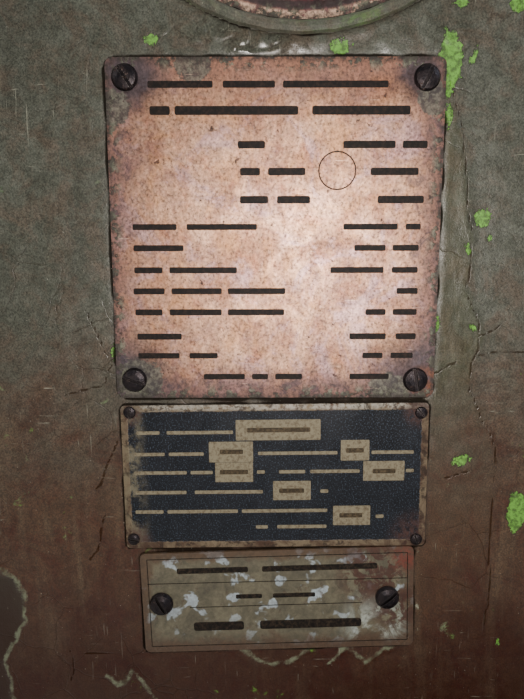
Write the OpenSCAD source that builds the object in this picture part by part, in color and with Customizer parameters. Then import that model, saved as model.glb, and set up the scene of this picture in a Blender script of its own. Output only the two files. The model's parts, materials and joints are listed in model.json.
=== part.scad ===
// Geared eccentric stamping press with an open C-frame.
// Origin: centre of the foundation-bolt pattern on the floor. X is the width, the ram faces -Y, +Z is up.

/* [Frame casting] */
// Width of the column and head
frame_w = 460; // [440:5:480]
// Width of the base flange
base_w = 640; // [600:10:680]
// Depth of the base flange
base_d = 940; // [900:10:980]
// Thickness of the base flange
foot_h = 50; // [40:1:60]
// Height of the bed above the floor
bed_h = 760; // [720:5:800]
// Throat depth, from the ram's axis to the column
throat = 250; // [240:2:270]
// Height of the throat, from the bed to the head
throat_h = 540; // [530:1:550]
// Depth of the column behind the throat
column_d = 400; // [380:5:420]
// Width of the two hand holes into the column
hand_w = 150; // [110:5:180]
// Height of the hand holes
hand_h = 230; // [190:5:280]
// Height of the hand holes' middle above the floor
hand_z = 640; // [500:10:760]
// Height of the main shaft above the floor
shaft_z = 1760; // [1755:1:1780]
// Head's height above the main shaft
head_over = 220; // [210:2:235]
// Distance of the ram's axis behind the front of the base
ram_back = 270; // [260:1:280]
// Radius of the holes for the foundation bolts
anchor_r = 13; // [11:0.5:15]
// Distance of each foundation bolt from the flange's edges
anchor_inset = 42; // [38:1:48]
// Radius of the drop hole through the bed
drop_r = 70; // [60:1:80]

/* [Bed and bolster] */
// Width of the bed's table
table_w = 620; // [600:5:640]
// Thickness of the bed's table
table_t = 80; // [70:1:100]
// Width of the bolster plate
bolster_w = 600; // [570:5:610]
// Depth of the bolster plate
bolster_d = 400; // [360:2:405]
// Thickness of the bolster plate
bolster_t = 70; // [62:1:80]
// Radius of the hole in the bolster plate
bolster_r = 60; // [50:1:66]
// Neck width of a T-slot
slot_neck = 22; // [18:1:26]
// Distance of each T-slot from the ram's axis
slot_x = 150; // [130:2:170]

/* [Stroke] */
// Longest stroke that the eccentric bush gives
stroke_max = 120; // [100:2:124]
// Shortest stroke that the eccentric bush gives
stroke_min = 12; // [8:1:20]
// Distance between the eccentric's centre and the ball's centre
rod_len = 420; // [415:1:425]
// Radius of the connecting rod's big end
strap_r = 150; // [146:1:154]
// Width of the connecting rod's big end
strap_w = 90; // [80:1:96]
// Radius of the ball on the adjusting screw
ball_r = 38; // [36:0.5:40]
// Radius of the adjusting screw's thread
screw_r = 30; // [27:0.5:32]

/* [Ram] */
// Width of the ram's body
ram_w = 270; // [262:1:276]
// Depth of the ram's body
ram_d = 200; // [190:1:210]
// Height of the ram
ram_h = 440; // [430:1:446]
// Height of the ram's underside at the top of the stroke
ram_z = 1170; // [1165:1:1175]
// How far the V guides stand out of the ram
guide_v = 25; // [20:1:30]
// Length of the ram guides
guide_h = 280; // [260:2:290]
// Width of the guide block on the head
guide_w = 500; // [490:2:520]
// Radius of the bore for a die's shank
shank_r = 25; // [20:0.5:28]
// Travel of the knockout bar
knock_travel = 40; // [30:1:40]

/* [Drive] */
// Radius of the main shaft in its front bearing
journal_r = 80; // [74:1:84]
// Module of the gear pair
gear_m = 6; // [5.8:0.1:6.1]
// Teeth of the pinion
pinion_z = 18; // [18:1:20]
// Teeth of the bull gear
gear_z = 93; // [90:1:94]
// Face width of the bull gear
gear_w = 100; // [90:1:105]
// Outer radius of the flywheel
flywheel_r = 425; // [400:5:440]
// Width of the flywheel's rim
flywheel_w = 110; // [104:1:120]
// Radius of the countershaft
counter_r = 35; // [30:1:40]
// Pitch radius of the motor's pulley
pulley_r = 75; // [70:1:82]
// Radius of the brake drum
brake_r = 160; // [150:1:170]
// Radius of the motor's body
motor_r = 118; // [108:1:122]
// Length of the motor's body
motor_len = 300; // [280:2:310]

/* [Data plates] */
// Width of the rating plate
rating_w = 112; // [104:1:120]
// Height of the rating plate
rating_h = 114; // [106:1:122]
// Height of the rating plate's centre above the floor
rating_z = 1470; // [1460:1:1480]
// Distance of the plates' middle line from the origin along Y
plates_y = 200; // [190:1:210]
// Thickness of a data plate
plate_t = 1; // [0.8:0.1:1.5]
// Radius of the round plate above the rating plate
round_r = 70.5; // [60:0.5:76]
// Height of the round plate's centre above the floor
round_z = 1609; // [1606:1:1630]
// Width of the electrical data plate
electric_w = 110; // [104:1:116]
// Height of the electrical data plate
electric_h = 54; // [48:1:58]
// Width of the inventory plate
inventory_w = 101.5; // [96:0.5:106]
// Height of the inventory plate
inventory_h = 40; // [36:1:44]

/* [Switch box] */
// Width of the switch box along the wall
box_w = 220; // [200:2:230]
// Height of the switch box
box_h = 320; // [300:2:340]
// Depth of the switch box
box_d = 140; // [130:1:150]

/* [Hidden] */
$fn = 96;
EPS = 0.01;

// Running clearance on a radius, sliding clearance on a flat, and the gap between seated pieces
run_c = 0.08;
slide_c = 0.3;
seat_c = 0.05;

// Places worked out from the driving sizes
front_y = -base_d / 2;
ram_y = front_y + ram_back;
throat_y = ram_y + throat;
back_y = throat_y + column_d;
head_z = bed_h + throat_h;
head_top = shaft_z + head_over;
bolster_top = bed_h + bolster_t;
wall_x = frame_w / 2;

// Eccentric: the shaft's own throw and the bush's throw add up at the longest stroke
shaft_throw = (stroke_max + stroke_min) / 4;
bush_throw = (stroke_max - stroke_min) / 4;
throw = stroke_max / 2;
ecc_z = shaft_z + throw;
pin_z = shaft_z + shaft_throw;
ball_z = ecc_z - rod_len;
strap_y0 = ram_y - strap_w / 2;
strap_y1 = ram_y + strap_w / 2;
pin_r = journal_r - 10;
bush_r = pin_r + bush_throw + 15;
liner_r = bush_r + 12;

// Ram and guides
ram_top = ram_z + ram_h;
body_x = ram_w / 2;
apex_x = body_x + guide_v;
gib_x = apex_x + 35;
guide_front = ram_y - ram_d / 2 - 10;
guide_back = ram_y + ram_d / 2 + 5;
guide_top = head_z + guide_h;
cup_r = ball_r + 12;
cup_base = 22;
neck_r = screw_r + 18;
pocket_x = throw + cup_r + 2;
pocket_y = cup_r + 4;
pivot_gap = 13;
pocket_z = ball_z - ball_r - cup_base - pivot_gap;
window_z = ball_z + 80;
knock_h = 26;
knock_w = 24;
knock_z = ram_z + 52;
knock_x = guide_w / 2 - 28;
clamp_h = 48;
clamp_x = 78;
clamp_stud_x = 52;

// Shaft stations along Y, from the ram back to the flywheel
boss_r = journal_r + 45;
boss_y = strap_y1 + 15;
front_brg_l = 200;
rear_brg_l = 200;
rear_journal_r = journal_r - 10;
drum_y = back_y + 12;
drum_w = 58;
collar_y = drum_y + drum_w + 6;
collar_w = 20;
gear_y = collar_y + collar_w + 6;
seat_r = journal_r - 20;
wheel_y = gear_y + gear_w + 16;
gear_a = gear_m * (gear_z + pinion_z) / 2;
counter_z = shaft_z - gear_a;
backlash = 0.6;

// Motor and belts
belt_n = 3;
belt_pitch = 25;
belt_h = 11;
belt_in = 3.5;
belt_top = 18.9;
belt_low = 14.2;
rim_r = flywheel_r;
wheel_pitch_r = flywheel_r - 9;
plate_gap = 20;
motor_plate_t = 22;
motor_plate_z = shaft_z + gear_m * (gear_z / 2 + 1) + plate_gap;
motor_foot_h = 14;
motor_z = motor_plate_z + motor_plate_t + motor_foot_h + motor_r;
motor_y1 = wheel_y - 28;
motor_y0 = motor_y1 - motor_len;
belt_y = wheel_y + flywheel_w / 2;

// Trip linkage on the left wall
trip_arm = 61;
pull_x = -wall_x - 36;
trip_x = pull_x - trip_arm;
trip_z = shaft_z - 200;
pull_y = throat_y + 56;
pedal_pivot_y = back_y - 60;
pedal_z = foot_h + 100;
pedal_front_y = front_y - 60;
link_w = 12;
link_pin_r = 7;

// Switch box on the right wall
box_y1 = back_y - 14;
box_y0 = box_y1 - box_w;
box_z0 = bed_h + 110;
box_z1 = box_z0 + box_h;
box_x0 = wall_x + 8;
box_x1 = box_x0 + box_d;
box_t = 3;
conduit_r = 11;
conduit_x = box_x0 + 24;
conduit_y = box_y1 - 20;
terminal_x = motor_r + 50;
round_y = plates_y + 8.4;
electric_z = rating_z - rating_h / 2 - 2.5 - electric_h / 2;
inventory_z = electric_z - electric_h / 2 - inventory_h / 2 - 1.4;

// Outline helpers

// Points of an arc about c
function arc_pts(c, r, a0, a1, n) =
    [for (i = [0:n]) let (a = a0 + (a1 - a0) * i / n) [c[0] + r * cos(a), c[1] + r * sin(a)]];

function unit(v) = v / norm(v);

// Arc that rounds corner p, which stands between a and b, to radius p[2]
function corner_pts(a, p, b, n) = let (
        q = [p[0], p[1]],
        d1 = unit([a[0], a[1]] - q),
        d2 = unit([b[0], b[1]] - q),
        half = acos(d1 * d2) / 2,
        c = q + unit(d1 + d2) * p[2] / sin(half),
        s = q + d1 * p[2] / tan(half) - c,
        e = q + d2 * p[2] / tan(half) - c,
        a0 = atan2(s[1], s[0]),
        turn = atan2(e[1], e[0]) - a0,
        a1 = a0 + (turn > 180 ? turn - 360 : turn < -180 ? turn + 360 : turn))
    arc_pts(c, p[2], a0, a1, n);

// Closed outline from [x, y, corner radius] triples
function rounded(pts, n = 6) = let (m = len(pts)) [for (i = [0:m - 1])
    each pts[i][2] > 0 ? corner_pts(pts[(i + m - 1) % m], pts[i], pts[(i + 1) % m], n)
                       : [[pts[i][0], pts[i][1]]]];

// Rectangle from [x0, y0] to [x1, y1] with rounded corners
function plate_pts(x0, y0, x1, y1, r) = rounded([[x0, y0, r], [x1, y0, r], [x1, y1, r], [x0, y1, r]]);

// Extrudes an outline drawn as (Y, Z) from x0 to x1
module along_x(x0, x1) {
    translate([x0, 0, 0]) rotate([90, 0, 90]) linear_extrude(x1 - x0) children();
}

// Extrudes an outline drawn as (X, Z) from y0 to y1
module along_y(y0, y1) {
    translate([0, y1, 0]) rotate([90, 0, 0]) linear_extrude(y1 - y0) children();
}

// Extrudes an outline drawn as (X, Y) from z0 to z1
module along_z(z0, z1) {
    translate([0, 0, z0]) linear_extrude(z1 - z0) children();
}

// Round bar along Y about (x, z)
module bar_y(r, y0, y1, z, x = 0) {
    translate([x, y0, z]) rotate([-90, 0, 0]) cylinder(r = r, h = y1 - y0);
}

// Round bar along X about (y, z)
module bar_x(r, x0, x1, y, z) {
    translate([x0, y, z]) rotate([0, 90, 0]) cylinder(r = r, h = x1 - x0);
}

// Round bar along Z about (x, y)
module bar_z(r, z0, z1, x, y) {
    translate([x, y, z0]) cylinder(r = r, h = z1 - z0);
}

// Ring about Y, drawn as a turned profile of [radius, y] points
module turned_y(z, x = 0) {
    translate([x, 0, z]) rotate([-90, 0, 0]) rotate_extrude() children();
}

// Hexagon across flats af
module hexagon(af) {
    circle(r = af / sqrt(3), $fn = 6);
}

// Hexagon bolt head and shank pointing along -Z from the origin, with a washer
module hex_bolt(af, head_h, r, len) {
    translate([0, 0, 2]) linear_extrude(head_h) hexagon(af);
    cylinder(r = af * 0.62, h = 2 + EPS);
    translate([0, 0, -len]) cylinder(r = r, h = len + EPS);
}

// Socket head cap screw, its head standing on the origin, shank along -Z
module cap_screw(r, head_r, head_h, len) {
    difference() {
        cylinder(r = head_r, h = head_h);
        translate([0, 0, head_h * 0.45]) linear_extrude(head_h) hexagon(head_r * 1.05);
    }
    translate([0, 0, -len]) cylinder(r = r, h = len + EPS);
}

// Tube swept along a helix about Z, as a coil spring of radius r and wire radius w
module coil(r, w, turns, pitch, per_turn = 14, sides = 6) {
    steps = turns * per_turn;
    rise = atan2(pitch, 360 * r * PI / 180);
    pts = [for (i = [0:steps]) let (a = 360 * i / per_turn, c = [r * cos(a), r * sin(a), pitch * i / per_turn])
        for (k = [0:sides - 1]) let (b = 360 * k / sides,
            out = [cos(a), sin(a), 0],
            up = [sin(a) * sin(rise), -cos(a) * sin(rise), cos(rise)])
            c + w * (cos(b) * out + sin(b) * up)];
    body = [for (i = [0:steps - 1], k = [0:sides - 1]) let (j = (k + 1) % sides)
        [i * sides + k, i * sides + j, (i + 1) * sides + j, (i + 1) * sides + k]];
    polyhedron(pts, concat([[for (k = [0:sides - 1]) sides - 1 - k]], body,
        [[for (k = [0:sides - 1]) steps * sides + k]]));
}

// Frame casting

// Side view of the column, bed body and head as (Y, Z), with filleted throat corners
function frame_side() = rounded([
    [front_y + 30, 0, 0], [front_y + 30, bed_h, 12], [throat_y, bed_h, 44], [throat_y, head_z, 70],
    [guide_back + 30, head_z, 25], [guide_back, head_z + 60, 0], [guide_back, head_top, 70],
    [back_y - 12, head_top, 40], [back_y, shaft_z - 120, 0], [back_y, 0, 0]], 8);

// Front view that rounds the head's top edges
function frame_front() = rounded([
    [-wall_x, 0, 0], [wall_x, 0, 0], [wall_x, head_top, 45], [-wall_x, head_top, 45]], 8);

// Plan view that rounds the upright edges
function frame_plan() = rounded([
    [-wall_x, front_y, 28], [wall_x, front_y, 28], [wall_x, back_y, 20], [-wall_x, back_y, 20]], 8);

module frame_body() {
    intersection() {
        along_x(-wall_x, wall_x) polygon(frame_side());
        along_y(front_y, back_y) polygon(frame_front());
        along_z(0, head_top) polygon(frame_plan());
    }
}

// Block on the head's front that holds the ram guides
module guide_block() {
    along_z(head_z, guide_top) polygon(rounded([
        [-guide_w / 2, guide_front, 16], [guide_w / 2, guide_front, 16],
        [guide_w / 2, guide_back + 110, 40], [wall_x - 30, guide_back + 160, 0],
        [-wall_x + 30, guide_back + 160, 0], [-guide_w / 2, guide_back + 110, 40]]));
}

// Table with its side brackets
module bed_table() {
    along_z(bed_h - table_t, bed_h)
        polygon(plate_pts(-table_w / 2, front_y, table_w / 2, throat_y + 20, 18));
    for (side = [-1, 1], y = [ram_y - 150, ram_y + 20, ram_y + 190])
        translate([0, y, 0]) along_y(-14, 14) polygon([
            [side * (wall_x - 20), bed_h - table_t + EPS], [side * (table_w / 2 - 18), bed_h - table_t + EPS],
            [side * (table_w / 2 - 26), bed_h - table_t - 30], [side * (wall_x + 6), bed_h - table_t - 210],
            [side * (wall_x - 20), bed_h - table_t - 210]]);
}

// Base flange with a pad and a web at each foundation bolt
module base_flange() {
    along_z(0, foot_h) polygon(plate_pts(-base_w / 2, front_y, base_w / 2, -front_y, 30));
    for (sx = [-1, 1], sy = [-1, 1]) {
        bar_z(anchor_r + 17, foot_h - 1, foot_h + 8,
            sx * (base_w / 2 - anchor_inset), sy * (base_d / 2 - anchor_inset));
        // The pedal's lever moves where the fourth gusset would be
        if (sx + sy > -2) translate([0, sy * (base_d / 2 - anchor_inset - 105), 0]) along_y(-12, 12) polygon([
            [sx * (wall_x - 20), foot_h - EPS], [sx * (base_w / 2 - 20), foot_h - EPS],
            [sx * (base_w / 2 - 26), foot_h + 12], [sx * (wall_x + 8), foot_h + 120],
            [sx * (wall_x - 20), foot_h + 120]]);
    }
}

// Arched window in the base's front, and the hole that blanks drop through
module drop_chamber() {
    along_y(front_y - 1, ram_y) polygon(rounded([
        [-150, foot_h + 30, 25], [150, foot_h + 30, 25], [150, bed_h - 240, 90], [-150, bed_h - 240, 90]], 8));
    bar_z(drop_r, bed_h - 200, bed_h + 1, 0, ram_y);
}

// Cored hollows, open to the floor: bed, column below the countershaft, and the head's middle
module cored_hollows() {
    inner_x = wall_x - 36;
    along_z(-1, bed_h - table_t - 45)
        polygon(plate_pts(-inner_x, front_y + 30 + 38, inner_x, throat_y - 20, 40));
    along_z(-1, counter_z - counter_r - 95)
        polygon(plate_pts(-inner_x, throat_y + 42, inner_x, back_y - 38, 40));
    along_z(0, head_top - 45) polygon(plate_pts(-inner_x, throat_y + 42, inner_x, back_y - 240, 30));
}

// Channel that the gibs and the ram sit in
module ram_channel() {
    translate([-gib_x - slide_c, guide_front - 1, head_z - 1])
        cube([2 * (gib_x + slide_c), guide_back - guide_front + 1, guide_h + 2]);
    translate([-gib_x - slide_c, boss_y - 1, head_z - 1])
        cube([2 * (gib_x + slide_c), guide_back - boss_y + 1, ram_top + 12 - head_z]);
}

// Bores of the two shafts, stepped for their bearings
module shaft_bores() {
    bar_y(journal_r + 12, boss_y - 1, boss_y + front_brg_l, shaft_z);
    bar_y(journal_r + 6, boss_y, back_y, shaft_z);
    bar_y(rear_journal_r + 12, back_y - rear_brg_l, back_y + 6, shaft_z);
    bar_y(counter_r + 13, back_y - 230, back_y + 6, counter_z);
}

// Hand holes at the column's back and left, wider and proud of the wall for their rims
module hand_shape(grow) {
    w = hand_w / 2 + grow;
    h = hand_h / 2 + grow;
    polygon(rounded([for (p = [[-w, -h], [w, -h], [w, h], [-w, h]]) [p[0], p[1], w - 1]]));
}

module hand_holes(grow, proud, deep) {
    translate([0, 0, hand_z]) along_y(back_y - deep, back_y + proud) hand_shape(grow);
    translate([0, back_y - 155, hand_z]) along_x(-wall_x - proud, -wall_x + deep) hand_shape(grow);
}

// Cast rim on the right wall, round the place of the round plate
module round_rim() {
    translate([wall_x, round_y, round_z]) rotate([0, 90, 0]) rotate_extrude() polygon([
        [round_r + 0.5, -2], [round_r + 0.5, 1.7], [round_r + 1.3, 2.3], [round_r + 2.7, 2.3],
        [round_r + 3.9, 1.5], [round_r + 4.5, 0.4], [round_r + 4.5, -2]]);
}

module frame() {
    color("darkolivegreen") difference() {
        union() {
            frame_body();
            guide_block();
            bed_table();
            base_flange();
            bar_y(boss_r, boss_y, guide_back + 60, shaft_z);
            bar_z(11, shaft_z + boss_r - 5, shaft_z + boss_r + 4, 0, boss_y + 22);
            bar_y(rear_journal_r + 40, back_y - 60, back_y + 4, shaft_z);
            bar_y(counter_r + 42, back_y - 60, back_y + 4, counter_z);
            round_rim();
            hand_holes(18, 4, 10);
            hand_holes(14, 7, 10);
        }
        hand_holes(0, 8, 50);
        drop_chamber();
        cored_hollows();
        ram_channel();
        shaft_bores();
        for (sx = [-1, 1], sy = [-1, 1])
            bar_z(anchor_r, -1, foot_h + 10,
                sx * (base_w / 2 - anchor_inset), sy * (base_d / 2 - anchor_inset));
        for (p = bolster_bolt_places()) bar_z(bolster_bolt_r + run_c, bed_h - 45, bed_h + 1, p[0], p[1]);
        for (side = [-1, 1], z = gib_screw_heights())
            bar_x(gib_screw_r + run_c, side > 0 ? gib_x : -guide_w / 2 - 1,
                side > 0 ? guide_w / 2 + 1 : -gib_x, ram_y, z);
        for (p = cap_bolt_places()) bar_y(cap_bolt_r + run_c, guide_front - 1, guide_front + 42, p[1], p[0]);
        for (sx = [-1, 1]) bar_z(knock_stop_r + run_c, head_z - 1, head_z + 32, sx * knock_stop_x, ram_y);
        for (p = eye_places()) bar_z(eye_r + run_c, head_top - 32, head_top + 1, p[0], p[1]);
    }
}

// Bolster plate with T-slots, held by cap screws in counterbores
bolster_bolt_r = 10;
bolster_head_r = 15;
bolster_head_h = 20;
bolster_y1 = ram_y + bolster_d / 2;
bolster_y0 = ram_y - bolster_d / 2;
slot_foot_w = slot_neck + 16;
slot_foot_h = 17;
slot_depth = 40;

function bolster_bolt_places() = [for (sx = [-1, 1], sy = [-1, 1])
    [sx * (bolster_w / 2 - 32), ram_y + sy * (bolster_d / 2 - 32)]];

module t_slot(x) {
    translate([x - slot_neck / 2, bolster_y0 - 1, bolster_top - slot_depth])
        cube([slot_neck, bolster_d + 2, slot_depth + 1]);
    translate([x - slot_foot_w / 2, bolster_y0 - 1, bolster_top - slot_depth])
        cube([slot_foot_w, bolster_d + 2, slot_foot_h]);
}

module bolster_plate() {
    color("slategray") difference() {
        along_z(bed_h, bolster_top)
            polygon(plate_pts(-bolster_w / 2, bolster_y0, bolster_w / 2, bolster_y1, 10));
        bar_z(bolster_r, bed_h - 1, bolster_top + 1, 0, ram_y);
        t_slot(-slot_x);
        t_slot(slot_x);
        for (p = bolster_bolt_places()) {
            bar_z(bolster_bolt_r + 1, bed_h - 1, bolster_top + 1, p[0], p[1]);
            bar_z(bolster_head_r + 1.5, bolster_top - bolster_head_h - 4, bolster_top + 1, p[0], p[1]);
        }
    }
}

module bolster_bolts() {
    color("dimgray") for (p = bolster_bolt_places())
        translate([p[0], p[1], bolster_top - bolster_head_h - 4])
            cap_screw(bolster_bolt_r, bolster_head_r, bolster_head_h, bolster_t - bolster_head_h - 4 + 35);
}

// Bronze bearings of the main shaft
module shaft_bearings() {
    color("peru") union() {
        turned_y(shaft_z) polygon([
            [journal_r + run_c, boss_y - 1], [journal_r + 22, boss_y - 1], [journal_r + 22, boss_y],
            [journal_r + 12, boss_y], [journal_r + 12, boss_y + front_brg_l],
            [journal_r + run_c, boss_y + front_brg_l]]);
        turned_y(shaft_z) polygon([
            [rear_journal_r + run_c, back_y - rear_brg_l], [rear_journal_r + 12, back_y - rear_brg_l],
            [rear_journal_r + 12, back_y + 4], [rear_journal_r + 22, back_y + 4],
            [rear_journal_r + 22, back_y + 9], [rear_journal_r + run_c, back_y + 9]]);
    }
}

// Ram guides: V-grooved gibs, front caps, bolts and side adjusting screws
gib_y0 = guide_front + slide_c;
gib_y1 = guide_back - slide_c;
v_half = 15;
cap_t = 25;
cap_bolt_r = 8;
gib_screw_r = 8;

function cap_bolt_places() = [for (sx = [-1, 1], z = [0.12, 0.5, 0.88])
    [sx * (gib_x + (guide_w / 2 - gib_x) / 2), head_z + guide_h * z]];
function gib_screw_heights() = [for (k = [0.17, 0.5, 0.83]) head_z + guide_h * k];

// Section of the right-hand gib as (X, Y), grooved to run on the ram's V
function gib_section() = let (g = slide_c * sqrt(2), x0 = body_x + 2) [
    [gib_x, gib_y0], [x0, gib_y0], [x0, ram_y - v_half - guide_v - g + 2], [apex_x + slide_c, ram_y - v_half - 0.2],
    [apex_x + slide_c, ram_y + v_half + 0.2], [x0, ram_y + v_half + guide_v + g - 2], [x0, gib_y1],
    [gib_x, gib_y1]];

module gib() {
    along_z(head_z + 1, guide_top - 1) polygon(gib_section());
}

module gib_left() {
    color("darkgray") mirror([1, 0, 0]) gib();
}

module gib_right() {
    color("darkgray") gib();
}

module gib_caps() {
    color("olivedrab") for (side = [0, 1]) mirror([side, 0, 0]) difference() {
        along_y(guide_front - cap_t, guide_front)
            polygon(plate_pts(body_x - 14, head_z + 2, guide_w / 2, guide_top - 2, 6));
        for (p = cap_bolt_places()) if (p[0] > 0)
            bar_y(cap_bolt_r + 1, guide_front - cap_t - 1, guide_front + 1, p[1], p[0]);
    }
}

// Cap bolts, side adjusting screws with lock nuts, and the screws that stop the knockout bar
module guide_bolts() {
    color("dimgray") union() {
        for (p = cap_bolt_places())
            translate([p[0], guide_front - cap_t, p[1]]) rotate([90, 0, 0]) hex_bolt(24, 10, cap_bolt_r, cap_t + 38);
        for (side = [0, 1], z = gib_screw_heights()) mirror([side, 0, 0]) {
            bar_x(gib_screw_r, gib_x + 0.1, guide_w / 2 + 22, ram_y, z);
            translate([guide_w / 2, ram_y, z]) rotate([0, 90, 0]) linear_extrude(9) hexagon(24);
            translate([guide_w / 2 + 14, ram_y, z]) rotate([0, 90, 0]) linear_extrude(14) hexagon(18);
        }
        for (sx = [-1, 1]) translate([sx * knock_stop_x, ram_y, 0]) {
            bar_z(knock_stop_r, head_z - 1, head_z + 30, 0, 0);
            translate([0, 0, head_z - 7]) linear_extrude(7) hexagon(24);
        }
    }
}

module frame_bolts() {
    bolster_bolts();
    guide_bolts();
}

// Ram with V guides, pocket for the ball joint, knockout slot and shank bore

// Section of the ram as (X, Y)
function ram_section() = [
    [-body_x, ram_y - ram_d / 2], [body_x, ram_y - ram_d / 2], [body_x, ram_y - v_half - guide_v],
    [apex_x, ram_y - v_half], [apex_x, ram_y + v_half], [body_x, ram_y + v_half + guide_v],
    [body_x, ram_y + ram_d / 2], [-body_x, ram_y + ram_d / 2], [-body_x, ram_y + v_half + guide_v],
    [-apex_x, ram_y + v_half], [-apex_x, ram_y - v_half], [-body_x, ram_y - v_half - guide_v]];

module ram() {
    color("silver") difference() {
        along_z(ram_z, ram_top) polygon(ram_section());
        along_z(pocket_z, ram_top + 1) polygon(plate_pts(-pocket_x, ram_y - pocket_y, pocket_x,
            ram_y + pocket_y, 12));
        along_y(ram_y - ram_d / 2 - 1, ram_y) polygon(rounded([
            [-pocket_x, window_z, 20], [pocket_x, window_z, 20], [pocket_x, ram_top + 20, 0],
            [-pocket_x, ram_top + 20, 0]]));
        bar_z(shank_r, ram_z - 1, knock_z, 0, ram_y);
        translate([-apex_x - 1, ram_y - knock_w / 2 - 1, knock_z])
            cube([2 * apex_x + 2, knock_w + 2, knock_h + knock_travel + 4]);
        translate([-clamp_x - 2, ram_y - ram_d / 2 - 1, ram_z - 1])
            cube([2 * clamp_x + 4, ram_d / 2 + 1, clamp_h + 2]);
        for (sx = [-1, 1]) bar_y(clamp_stud_r + run_c, ram_y - 1, ram_y + 45, ram_z + clamp_h / 2,
            sx * clamp_stud_x);
    }
}

// Front half of the shank's clamp
clamp_stud_r = 9;
clamp_front_y = ram_y - ram_d / 2 + 6;

module shank_clamp() {
    color("darkgray") difference() {
        along_z(ram_z, ram_z + clamp_h) polygon(plate_pts(-clamp_x, clamp_front_y, clamp_x, ram_y - 0.5, 10));
        bar_z(shank_r, ram_z - 1, ram_z + clamp_h + 1, 0, ram_y);
        for (sx = [-1, 1]) bar_y(clamp_stud_r + 1, clamp_front_y - 1, ram_y, ram_z + clamp_h / 2,
            sx * clamp_stud_x);
    }
}

module shank_nuts() {
    color("dimgray") for (sx = [-1, 1]) translate([sx * clamp_stud_x, 0, ram_z + clamp_h / 2]) {
        bar_y(clamp_stud_r, clamp_front_y - 26, ram_y + 42, 0);
        translate([0, clamp_front_y, 0]) rotate([90, 0, 0]) cylinder(r = 17, h = 3);
        translate([0, clamp_front_y - 3, 0]) rotate([90, 0, 0]) linear_extrude(15) hexagon(27);
    }
}

// Knockout bar across the ram
knock_stop_r = 8;
knock_stop_x = guide_w / 2 - 40;

module knockout_bar() {
    color("gray") difference() {
        along_x(-knock_x, knock_x) polygon(plate_pts(ram_y - knock_w / 2, knock_z + slide_c,
            ram_y + knock_w / 2, knock_z + slide_c + knock_h, 4));
        for (sx = [-1, 1]) bar_z(4, knock_z, knock_z + knock_h + 1, sx * (knock_x - 10), ram_y);
    }
}

// Main shaft with its overhung eccentric
nut_w = 20;
ring_w = 20;
dog_h = 9;
flange_w = 8;

// Stations of the stroke-setting parts, in front of the big end
flange_y = strap_y0 - 1;
dog_y = flange_y - flange_w;
ring_y = dog_y - dog_h;
nut_y = ring_y - ring_w;

module crankshaft() {
    color("lightsteelblue") union() {
        turned_y(shaft_z) polygon([
            [0, strap_y1 + 1], [boss_r - 12, strap_y1 + 1], [boss_r - 6, strap_y1 + 4],
            [boss_r - 6, boss_y - 2], [journal_r, boss_y - 2], [journal_r, boss_y + front_brg_l],
            [rear_journal_r, boss_y + front_brg_l + 10], [rear_journal_r, drum_y], [seat_r + 5, drum_y],
            [seat_r + 5, gear_y - 1], [seat_r, gear_y - 1], [seat_r, gear_y + gear_w], [0, gear_y + gear_w]]);
        bar_y(pin_r, dog_y, strap_y1 + 2, pin_z);
        bar_y(stub_r, nut_y - nut_w - 6, dog_y + 1, pin_z);
    }
}

// Eccentric bush, which turns on the shaft's eccentric to set the stroke
stub_r = 36;
dog_n = 12;
dog_r0 = 52;
dog_r1 = pin_r + 18;

// Ring of square teeth about Y that stand from y0 to y1
module dogs(y0, y1, shift) {
    width = 180 / dog_n - 0.8;
    for (i = [0:dog_n - 1]) along_y(y0, y1) translate([0, pin_z]) rotate(360 / dog_n * i + shift)
        polygon(concat(arc_pts([0, 0], dog_r0 + 20, -width / 2, width / 2, 2),
            arc_pts([0, 0], dog_r1 - 4, width / 2, -width / 2, 2)));
}

module eccentric_bush() {
    color("burlywood") union() {
        difference() {
            union() {
                bar_y(bush_r, flange_y, strap_y1 - 1, ecc_z);
                bar_y(liner_r, dog_y, flange_y, ecc_z);
            }
            bar_y(pin_r + seat_c, dog_y - 1, strap_y1, pin_z);
        }
        dogs(dog_y - dog_h + 0.5, dog_y + 1, 0);
    }
}

module stroke_ring() {
    color("gray") union() {
        difference() {
            turned_y(pin_z) polygon([
                [stub_r + seat_c, ring_y - ring_w], [dog_r1 - 4, ring_y - ring_w], [dog_r1, ring_y - ring_w + 4],
                [dog_r1, ring_y], [stub_r + seat_c, ring_y]]);
            for (i = [0:3]) translate([0, 0, pin_z]) rotate([0, 45 + 90 * i, 0]) translate([0, 0, -pin_z])
                bar_z(5, pin_z + dog_r1 - 14, pin_z + dog_r1 + 1, 0, ring_y - 8);
        }
        dogs(ring_y - 1, ring_y + dog_h - 0.5, 180 / dog_n);
    }
}

module shaft_nut() {
    color("dimgray") difference() {
        along_y(nut_y - nut_w, nut_y) translate([0, pin_z]) hexagon(110);
        bar_y(stub_r + seat_c, nut_y - nut_w - 1, nut_y + 1, pin_z);
    }
}

// Connecting rod with its liner, clamp bolts and adjusting screw
rod_foot_z = ecc_z - rod_len + 130;
rod_bore_top = ecc_z - liner_r - 14;
lug_w = 34;
lug_y = ram_y - neck_r - 24;
lug_bolt_r = 8;
lug_bolts = [rod_foot_z + 22, rod_foot_z + 64];

// Big end running down into the neck, as (X, Z) about the eccentric
function rod_outline() = concat(
    arc_pts([0, ecc_z], strap_r, -62, 242, 40),
    [[-neck_r - 8, ecc_z - strap_r - 8], [-neck_r, ecc_z - strap_r - 50],
     [neck_r, ecc_z - strap_r - 50], [neck_r + 8, ecc_z - strap_r - 8]]);

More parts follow.
